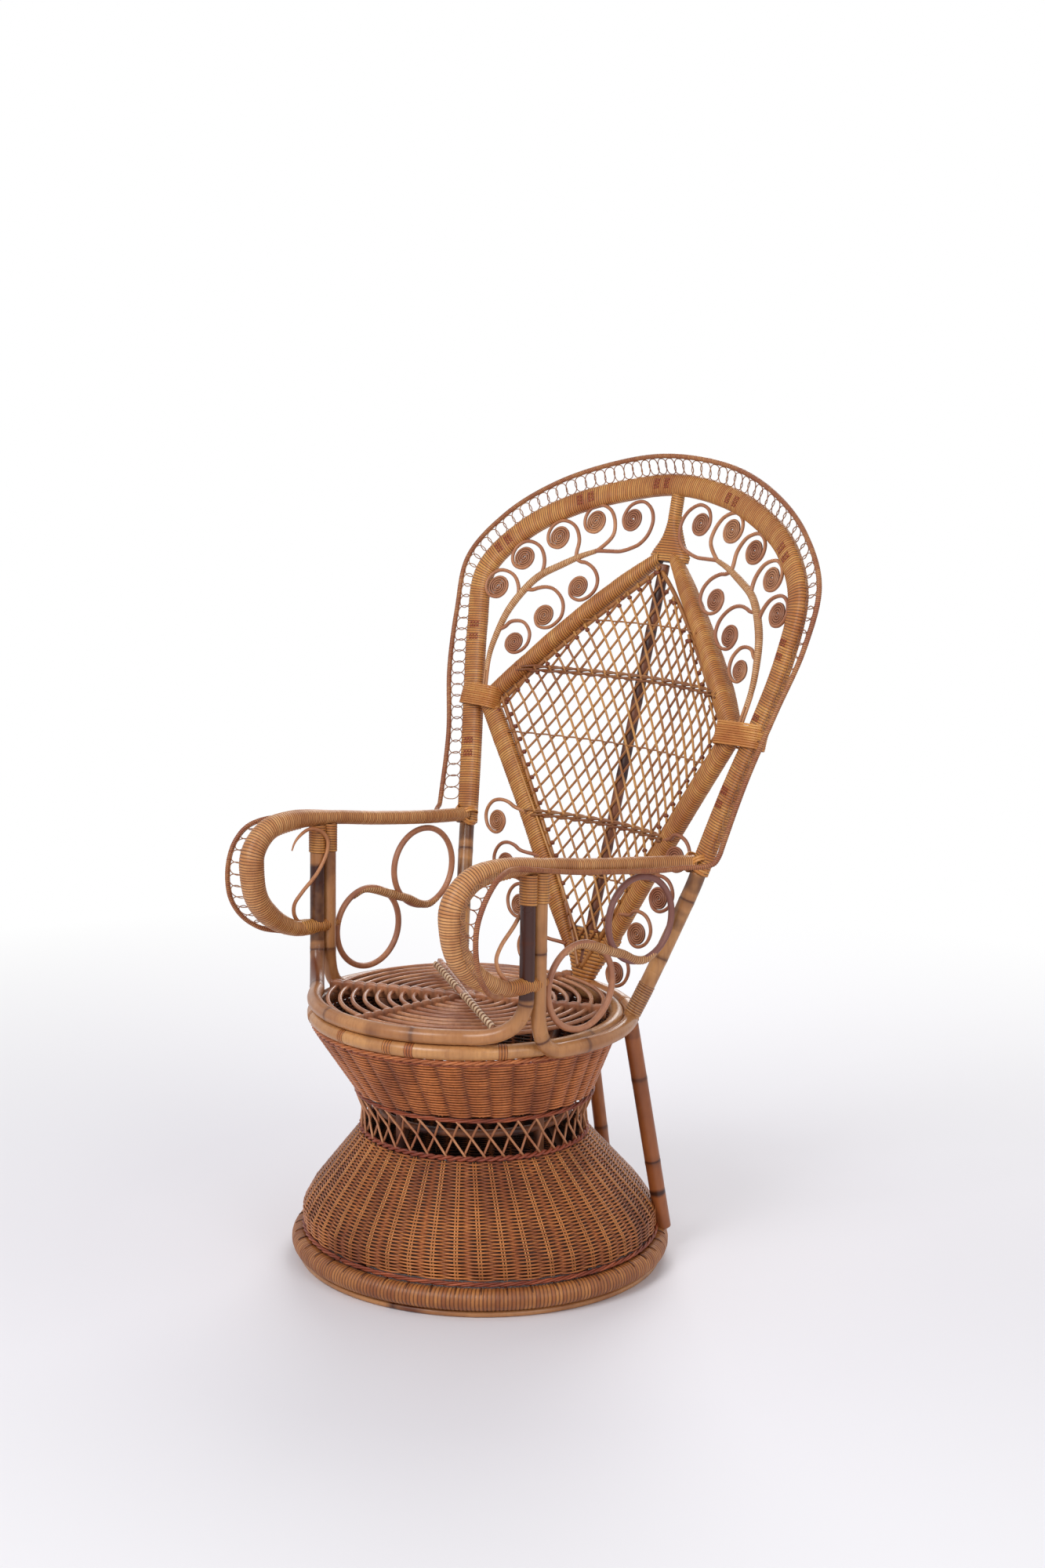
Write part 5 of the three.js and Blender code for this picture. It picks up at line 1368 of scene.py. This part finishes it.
def settled(place, height, rail_place):
    """A surface that leaves the rail and comes to the scroll's own plane."""
    def place_at(sides, levels):
        toward = np.clip(lengths(np.stack([sides, 0 * sides, levels], 1)) / SETTLE_RUN, 0, 1)
        toward = toward * toward * (3 - 2 * toward)
        own = place + (levels - height) * math.tan(BACK_LEAN) * 0.4
        return np.stack([sides, rail_place * (1 - toward) + own * toward, levels], 1)
    return place_at


def make_scroll(label, path, thick, dye):
    sizes, flanks = scroll_sizes(path, thick)
    rod = Bundle()
    rod.tube(path, sizes, sides=8, facing=back_facing, flanks=flanks, dye=dye)
    rod.make(f"{label}_rod", scroll_rod, [label], "rod")


for hand, name in ((-1, "left"), (1, "right")):
    branch = Bundle()
    line = mirrored(left_branch, -hand)
    wind(branch, line[10:], BRANCH_SIZES, None, back_facing, sides=10, width=3.4, ridge=0.45)
    branch.tube(line[:16] + [hand * 3.4, 0, 0], 2.3, sides=8, dye=0.3)
    branch.tube(line[:16] - [hand * 2.6, 0, 0], 2.6, sides=8, dye=0.3)
    branch.make(f"scroll_branch_{name}_winding", pale_cane, [f"scroll_branch_{name}"], "cane")
    for label, side, height, loop, way in UPPER_SCROLLS:
        tail = off_branch((-side, height), loop)
        if loop is TIP_LOOP:
            tail = [left_branch[-4][[0, 2]], left_branch[-1][[0, 2]], *TIP_TAIL]
        outline = scroll_outline((-side, height), loop, way, tail)
        path = mirrored(scroll_path(outline, back_point), -hand)
        make_scroll(f"{label}_{name}", path, UPPER_THICK, 0.7 * hashed(side + hand))
    for label, side, place, height in LOWER_SCROLLS:
        rail = rail_at(height + 20)
        outline = scroll_outline((-side, height), LOWER_LOOP, 1, [(-rail[0] + 5, height + 19)])
        path = mirrored(scroll_path(outline, settled(place, height, rail[1])), -hand)
        make_scroll(f"{label}_{name}", path, LOWER_THICK, 0.7 * hashed(side + hand))
report("scrolls")

# %% [markdown]
# ## Arms
# Each arm is a wound tube that runs forward, swells, curls down and comes back
# to the posts. Its line is drawn in side view as pairs of place and height,
# and `arm_side` says how far out it stands at each place, so that all that
# belongs to the arm can be drawn flat.

# %% Line of an arm
ARM_LINE = ((190, 647), (90, 655), (-13, 665), (-110, 677), (-190, 681), (-241, 671), (-270, 640),
            (-272, 603), (-261, 563), (-226, 527), (-178, 505), (-110, 502))
ARM_SIDES = ((-272, 238), (-241, 242), (-190, 246), (-137, 249), (0, 251), (90, 252), (180, 258),
             (195, 268))
CURL_SIZES = (11.5, 11.5, 16, 20, 18, 13.5, 9)


def arm_side(place):
    places, sides = np.array(ARM_SIDES, float).T
    return np.interp(place, places, sides)


def sideways(path):
    return np.broadcast_to(np.array([1.0, 0, 0]), path.shape)


arm_line = smooth([(arm_side(y), y, z) for y, z in ARM_LINE], 3)
arm_length = lengths(arm_line)
curl_at = arm_length[np.argmin(arm_line[:, 1])]
size_at = (0, 300, 380, curl_at, curl_at + 90, curl_at + 150, arm_length[-1])
arm_sizes = np.interp(arm_length, size_at, CURL_SIZES)
print("arm:", round(arm_length[-1]), "mm long, curls at", round(curl_at))

# %% [markdown]
# Two rows of pale stitches run down the front of the curl. Where the arm's end
# passes the posts a wound sleeve covers the crossing, and two slanting bands
# tie the arm to the back's frame.

# %% Arms and their crossings
STITCH_TURNS, STITCH_SPAN, STITCH_HALF = (-0.35, 0.15), (0.50, 0.78), 1.3
SLEEVE_HEIGHT = 504.0
SLEEVE_RUN = np.array(((0, -50, 3), (0, -25, 0), (0, 0, -1), (0, 38, -1)))
SLEEVE_WIDE, SLEEVE_DEEP = (11, 12.5, 12.5, 12, 11, 8, 3), (12, 14, 14.5, 14.5, 12, 8, 3)
ARM_JOINT, JOINT_TILT = np.array((268, 196, 645)), 0.62

for hand, name in ((-1, "left"), (1, "right")):
    arm = Bundle()
    path = mirrored(arm_line, hand)
    wind(arm, path, arm_sizes, None, sideways, sides=18, width=3.9, ridge=0.65, lean=1.0)
    along = tangents(path, False)
    front = -np.cross(along, sideways(path))
    first, last = (int(len(path) * share) for share in STITCH_SPAN)
    for turn in STITCH_TURNS:
        out = unit(front * math.cos(turn) + sideways(path) * math.sin(turn))
        for i in range(first, last, 2):
            at, run = path[i] + out[i] * arm_sizes[i], along[i] * STITCH_HALF
            arm.tube(np.stack([at - run, at + run]), 1.5, 0.7, facing=out[i], sides=6, tone=0)
    arm.make(f"arm_{name}_winding", arm_cane, [f"arm_{name}"], "cane")

    crossing = Bundle()
    sleeve = SLEEVE_RUN + [hand * POST_SIDE, -(FRONT_POST + REAR_POST) / 2 - 2, SLEEVE_HEIGHT]
    wind(crossing, sleeve, SLEEVE_WIDE, SLEEVE_DEEP, sideways, sides=18, width=4.2, ridge=1.0,
         lean=0.8)
    for tilt in (-JOINT_TILT, JOINT_TILT):
        across = np.array([math.cos(tilt), 0, math.sin(tilt)])
        band(crossing, mirrored(ARM_JOINT, hand), across, (0, -1, 0.2), 22, 15.5, 9, 4.4, square=0.8)
    crossing.make(f"arm_crossing_{name}", wound_cane, slot="cane")
report("arms")

# %% [markdown]
# ## Arm scrolls and hooks
# Under each arm hang two open rings of pole, the rear one higher, with a wound
# link between them. Inside the curl a thin rod with a free end hooks round
# like a shepherd's crook. It stands inboard of the arm, and comes out to the
# arm's own plane at its foot.

# %% Arm scrolls and hooks
RING_RADIUS, RING_ROD, RING_POINTS = 65, 5, 96
RINGS = ((89, 571), (-31, 486))
LINK_LINE = ((-62, 541), (-40, 549), (-14, 545), (20, 533), (55, 521), (80, 509), (102, 506),
             (122, 514))
LINK_SIZES = (5, 5.8, 7.4, 8, 7.6, 7.4, 6.6, 5.2)
HOOK_LINE = ((-201, 636), (-196, 647), (-186, 657), (-166, 666), (-142.5, 660.5), (-128, 646),
             (-128, 627), (-147, 595), (-177, 565.5), (-189, 548), (-188, 533), (-180, 520),
             (-170, 512))
HOOK_INBOARD, HOOK_FOOT, HOOK_RUN = POLE + 3.4, 520, 60
HOOK_AT, HOOK_SIZES = (0, 30, 80), (1.2, 2.6, 3.2)

link = smooth([(arm_side(y), y, z) for y, z in LINK_LINE], 3)
hook_path = smooth([(arm_side(y) - HOOK_INBOARD * min(max((z - HOOK_FOOT) / HOOK_RUN, 0), 1), y, z)
                    for y, z in HOOK_LINE], 3)
hook_sizes = np.interp(lengths(hook_path), HOOK_AT, HOOK_SIZES)
for hand, name in ((-1, "left"), (1, "right")):
    rings = Bundle()
    for place, height in RINGS:
        turn = 2 * np.pi * np.arange(RING_POINTS) / RING_POINTS
        y = place + RING_RADIUS * np.cos(turn)
        path = np.stack([hand * arm_side(y), y, height + RING_RADIUS * np.sin(turn)], 1)
        darker = 0.8 if hand > 0 and place > 0 else 0.1
        rings.tube(path, RING_ROD, sides=12, closed=True, facing=sideways, dye=darker, tone=0.4)
    rings.make(f"arm_scroll_{name}_rings", ring_rod, [f"arm_scroll_{name}"], "rod")
    sleeve = Bundle()
    wind(sleeve, mirrored(link, hand), LINK_SIZES, None, sideways, sides=14, width=4.6, ridge=0.7,
         lean=1.6)
    sleeve.make(f"arm_scroll_{name}_link", pale_cane, slot="cane")
    hook = Bundle()
    hook.tube(mirrored(hook_path, hand), hook_sizes, sides=8)
    hook.make(f"arm_hook_{name}_rod", scroll_rod, [f"arm_hook_{name}"], "rod")
report("arm scrolls and hooks")

# %% [markdown]
# ## Edge cane
# One thin wound cane follows the outside of the whole chair, from one arm's
# curl round the back to the other. The part round the back is drawn like the
# frame, the part along the arm like the arm, and an elbow joins them. Some
# turns are redder than others, in stretches of its length.

# %% Edge cane
EDGE_SHARES = (
    (0, 1, -1), (0.3156, 0.984, -0.46), (0.616, 0.94, -0.37), (0.849, 0.874, -0.03), (1, 0.7855, 0.38),
    (0.994, 0.68, 0.48), (0.9375, 0.565, 0.1), (0.86, 0.44, 0.05), (0.811, 0.305, 0))
EDGE_HALF_WIDTH, EDGE_RISE, EDGE_DEPTH = 397, 900.6, 26
ELBOW = ((321, 181, 657), (313, 168, 651), (300, 156, 649), (287, 138, 648), (278, 108, 647))
ALONG_ARM, ARM_GAP = ((60, 650), (0, 657), (-60, 664), (-120, 674), (-155, 680)), 17
CURL_CANE = ((-180, 683, 17), (-215, 682, 35), (-243, 671, 49), (-264, 648, 56), (-276, 618, 57),
             (-278, 585, 57), (-272, 556, 56), (-255, 528, 48), (-228, 508, 33), (-195, 500, 17))
EDGE_ROD, EDGE_STRETCHES = 4.2, 160

edge_back = round_back(EDGE_SHARES, EDGE_HALF_WIDTH, EDGE_RISE, EDGE_DEPTH, 4)
along_arm = [(arm_side(y) + ARM_GAP, y, z) for y, z in ALONG_ARM]
curl = [(arm_side(y) + out, y, z) for y, z, out in CURL_CANE]
edge_arm = smooth([*ELBOW, *along_arm, *curl], 3)
edge_path = np.vstack([mirrored(edge_arm[::-1], -1), edge_back[1:-1], edge_arm])
edge = Bundle()
wind(edge, smooth(edge_path[::3], 3), EDGE_ROD, sides=8, width=3.1, ridge=0.45, lean=1.4,
     dye=0.35 * hashed(np.arange(EDGE_STRETCHES)) ** 2)
edge.make("edge_cane_winding", edge_cane, ["edge_cane_lace"], "cane")
print("edge cane:", round(lengths(edge_path)[-1]), "mm long")
report("edge")

# %% [markdown]
# ## Lace
# Rings of fine cane, a little wider than their pitch so that they overlap,
# fill the gap between frame and edge cane. A ring grows squarer and narrower
# where the gap is tall. One half of it stands forward and the other back, the
# other way round on the next ring, so that neighbours pass over and under.

# %% A ring of lace
LACE_ROD, LACE_POINTS = 0.85, 22
LACE_WEAVE, LACE_REACH = 0.9, 0.465


def lace_ring(inner, outer, along, out, pitch, number):
    """One ring of fine cane between two points, along the edge cane."""
    middle, reach = (inner + outer) / 2, outer - inner
    turn = 2 * np.pi * np.arange(LACE_POINTS) / LACE_POINTS
    tall = np.clip(np.linalg.norm(reach) / pitch - 0.9, 0, 0.6) / 0.6
    square, half = 1 - 0.22 * tall, pitch * (0.62 - 0.09 * tall)
    c = np.sign(np.cos(turn)) * np.abs(np.cos(turn)) ** square
    s = np.sign(np.sin(turn)) * np.abs(np.sin(turn)) ** 0.95
    weave = LACE_WEAVE * np.sign(np.sin(turn)) * np.abs(np.cos(turn)) ** 0.5 * (-1) ** number
    ring = (middle + along * (half * c)[:, None] + reach * (LACE_REACH * s)[:, None]
            + out * weave[:, None])
    lace.tube(ring, LACE_ROD, sides=5, closed=True, dye=0.3 * hashed(number))


print("lace cane is", 2 * LACE_ROD, "mm thick")

# %% [markdown]
# Round the back each ring reaches from the edge cane to the nearest point of
# the frame. Round the arms' curls it reaches to the arm, and is left out where
# the two canes come too close. Each end is sunk a little into its cane.

# %% Lace round the back and the curls
LACE_PITCH, LACE_END = 20, 6
CURL_RINGS, CURL_GAP = 12, 4
FRAME_BITE, EDGE_BITE = 1.5, 1

lace = Bundle()
edge_line, frame_line = resample(edge_back, 1.5), resample(frame_path, 1.5)
total = lengths(edge_line)[-1]
laced = total - 2 * LACE_END
count = round(laced / LACE_PITCH)
for number in range(count):
    share = (LACE_END + (number + 0.5) * laced / count) / total
    at, along, out, _ = local_frame(edge_line, share, back_facing)
    near = frame_line[np.argmin(np.linalg.norm(frame_line - at, axis=1))]
    toward = unit(near - at)
    lace_ring(near - toward * (FRAME_HALF_WIDE - FRAME_BITE), at + toward * (EDGE_ROD - EDGE_BITE),
              along, out, LACE_PITCH, number)
for hand in (-1, 1):
    cane = resample(mirrored(edge_arm, hand), 1)
    body = resample(mirrored(arm_line, hand), 1)
    size = np.interp(lengths(body), arm_length, arm_sizes)
    s = lengths(cane)
    ends = (mirrored(np.array(curl[k]), hand) for k in (1, -2))
    begin, end = (s[np.argmin(np.linalg.norm(cane - point, axis=1))] for point in ends)
    for number in range(CURL_RINGS):
        share = (begin + (number + 0.5) * (end - begin) / CURL_RINGS) / s[-1]
        at, along, _, _ = local_frame(cane, share, sideways)
        near = np.argmin(np.linalg.norm(body - at, axis=1))
        toward = unit(body[near] - at)
        inner = body[near] - toward * (size[near] - FRAME_BITE)
        if np.linalg.norm(inner - at) > EDGE_ROD + CURL_GAP:
            lace_ring(inner, at + toward * (EDGE_ROD - EDGE_BITE), along,
                      unit(np.cross(along, toward)), (end - begin) / CURL_RINGS, number)
lace.make("lace_rings", lace_cane, slot="cane")
print("lace:", count, "rings round the back, up to", CURL_RINGS, "a curl")
report("lace")

# %% [markdown]
# ## Legs and uprights
# Three poles lean in behind the drum, from its rim hoop up to the rear hoop of
# the seat. From there an upright on each side carries on into the foot of the
# back's frame, bent so that it leaves along the frame's own line. All are bare
# poles with scorched stretches, and the uprights are wound at their foot.

# %% Legs and uprights
LEG_ROD, CENTRE_LEG_ROD = 12.5, 11.2
LEG_TURN, LEG_FOOT_TURN, LEG_FOOT_RADIUS = math.radians(39), math.radians(46.5), 292
CENTRE_FOOT, RIM_TOP = 286, 43.7
LEG_BURNS = ((0.93, 1.0, 0.6), (0.0, 0.1, 0.3), (0.16, 0.2, 0.9))
UPRIGHT_BURNS = ((0.6, 0.76, 0.5), (0.86, 1.0, 0.5), (0.24, 0.5, 0.2))
WOUND_SHARE = 0.24

for hand, name in ((-1, "left"), (1, "right")):
    rest = np.array([hand * rear_radius * math.cos(LEG_TURN),
                     rear_radius * math.sin(LEG_TURN) - SEAT_FORWARD, SEAT_HEIGHT])
    foot = np.array([hand * LEG_FOOT_RADIUS * math.cos(LEG_FOOT_TURN),
                     LEG_FOOT_RADIUS * math.sin(LEG_FOOT_TURN), RIM_TOP - 1])
    leg = Bundle()
    pole(leg, resample(np.array([foot, rest - [0, 0, 8]]), 3), LEG_ROD, (0.33, 0.74), sides=16,
         burns=LEG_BURNS)
    leg.make(f"rear_leg_{name}_pole", leg_skin, [f"rear_leg_{name}"], "pole")
    upright = Bundle()
    end = mirrored(frame_right[-1], hand)
    down = unit(end - mirrored(frame_right[-8], hand))
    bend = rest * 0.72 + (end + down * 26) * 0.28
    line = smooth([rest + [0, 0, 5], bend, end + down * 22, end], 3)
    pole(upright, line, LEG_ROD, (0.42, 0.81), sides=16, burns=UPRIGHT_BURNS)
    wind(upright, line[2:int(len(line) * WOUND_SHARE)], LEG_ROD + 1.3, width=4.2, ridge=1.1, lean=0.8)
    upright.make(f"rear_upright_{name}_pole", pole_skin, [f"rear_upright_{name}"], "pole")
leg = Bundle()
line = np.array([[0, CENTRE_FOOT, RIM_TOP - 1], [0, rear_radius - SEAT_FORWARD, SEAT_HEIGHT - 10]])
pole(leg, resample(line, 3), CENTRE_LEG_ROD, (0.3, 0.7), sides=14, burns=((0.85, 1.0, 0.4),))
leg.make("rear_leg_centre_pole", leg_skin, ["rear_leg_centre"], "pole")
report("legs")

# %% [markdown]
# ## Floor
# A plain pale floor keeps the chair's shadow. Away from the chair it fades
# into a white glow that only the camera sees, so that floor and background
# meet without a line.

# %% Floor
FADE_START, FADE_END = 0.7, 2.5

floor_mesh = bpy.data.meshes.new("floor")
grid = bmesh.new()
bmesh.ops.create_grid(grid, x_segments=1, y_segments=1, size=60)
grid.to_mesh(floor_mesh)
grid.free()
floor = bpy.data.objects.new("floor", floor_mesh)
bpy.context.collection.objects.link(floor)

# Pale, dull and slightly cool, as painted studio floors look
floor_paint = bpy.data.materials.new("white studio floor")
floor_paint.use_nodes = True
paint = floor_paint.node_tree
floor_shader = paint.nodes["Principled BSDF"]
floor_shader.inputs["Base Color"].default_value = linear("e8e6ec")
floor_shader.inputs["Roughness"].default_value = 0.6
spot = add(paint, "ShaderNodeTexCoord", give="Object")
away = add(paint, "ShaderNodeVectorMath", {"operation": "LENGTH"}, "Value", i0=spot)
far = add(paint, "ShaderNodeMapRange", Value=away, From_Min=FADE_START, From_Max=FADE_END)
glow = add(paint, "ShaderNodeEmission", Strength=1.0)
seen_ray = add(paint, "ShaderNodeLightPath", give="Is Camera Ray")
fade = add(paint, "ShaderNodeMath", MULTIPLY, i0=far, i1=seen_ray)
blend = add(paint, "ShaderNodeMixShader", i0=fade, i1=floor_shader.outputs[0], i2=glow)
paint.links.new(blend, paint.nodes["Material Output"].inputs["Surface"])
floor_mesh.materials.append(floor_paint)
print("floor fades to white from", FADE_START, "to", FADE_END, "m")

# %% [markdown]
# ## World
# The room is white. Rays that the eye follows (straight, mirrored or through
# glass) see it at full level, and all others get half, which keeps the shadows
# in the weave.

# %% World
SEEN_LEVEL, FILL_LEVEL = 1.0, 0.5

world = bpy.data.worlds.new("white studio")
bpy.context.scene.world = world
world.use_nodes = True
sky = world.node_tree
rays = add(sky, "ShaderNodeLightPath").node.outputs
either = add(sky, "ShaderNodeMath", {"operation": "MAXIMUM"}, i0=rays["Is Camera Ray"],
             i1=rays["Is Glossy Ray"])
seen = add(sky, "ShaderNodeMath", {"operation": "MAXIMUM"}, i0=either,
           i1=rays["Is Transmission Ray"])
level = add(sky, "ShaderNodeMapRange", Value=seen, To_Min=FILL_LEVEL, To_Max=SEEN_LEVEL)
sky.links.new(level, sky.nodes["Background"].inputs["Strength"])
sky.nodes["Background"].inputs["Color"].default_value = linear("ffffff")
print("white room, level", SEEN_LEVEL, "to the eye and", FILL_LEVEL, "to the rest")

# %% [markdown]
# ## Lamps
# Three large round softboxes light the chair: the key in front and above, a
# weak fill from the camera's side, and one from behind that draws the edge of
# the back and shines through the lattice.

# %% Lamps
LAMPS = (("key softbox", (0.6, -2.9, 2.7), (0, 0, 0.6), 1.6, 62),
         ("fill softbox", (3.2, -0.6, 1.6), (0, 0, 0.5), 1.8, 22),
         ("back softbox", (-1.8, 2.4, 2.2), (0, 0, 0.6), 2.0, 46))

for name, place, target, size, power in LAMPS:
    light = bpy.data.lights.new(name, "AREA")
    light.shape = "DISK"
    light.size = size
    light.energy = power
    light.color = linear("ffffff")[:3]
    holder = bpy.data.objects.new(name, light)
    bpy.context.collection.objects.link(holder)
    holder.location = place
    holder.rotation_euler = (Vector(target) - Vector(place)).to_track_quat("-Z", "Y").to_euler()
    print(name, power, "W")
bpy.context.scene.view_settings.view_transform = "Standard"

# %% [markdown]
# ## Camera
# The camera stands where the photograph was taken, in front of the seat and to
# the sitter's left. Place, heading, dip and roll were fitted to
# the round hoops of base and seat. They give the three axes of the camera,
# which Blender wants as right, up and back.

# %% Camera
CAMERA_PLACE = Vector((2.6012, -2.3204, 1.3311))
HEADING, DIP, ROLL = math.radians(47.33), math.radians(9.41), math.radians(0.85)
FOCAL_PIXELS, LONG_SIDE, SENSOR = 2910, 2000, 36

forward = Vector((-math.sin(HEADING) * math.cos(DIP), math.cos(HEADING) * math.cos(DIP), -math.sin(DIP)))
level_right = Vector((math.cos(HEADING), math.sin(HEADING), 0))
level_up = level_right.cross(forward)
right = level_right * math.cos(ROLL) + level_up * math.sin(ROLL)
up = -level_right * math.sin(ROLL) + level_up * math.cos(ROLL)
lens = bpy.data.cameras.new("photo view")
lens.lens = SENSOR * FOCAL_PIXELS / LONG_SIDE
lens.sensor_width = SENSOR
lens.sensor_fit = "AUTO"
camera = bpy.data.objects.new("photo view", lens)
bpy.context.collection.objects.link(camera)
turned = Matrix((right, up, -forward)).transposed().to_4x4()
camera.matrix_world = Matrix.Translation(CAMERA_PLACE + ROW_SHIFT) @ turned
bpy.context.scene.camera = camera
print("lens:", round(lens.lens, 1), "mm")
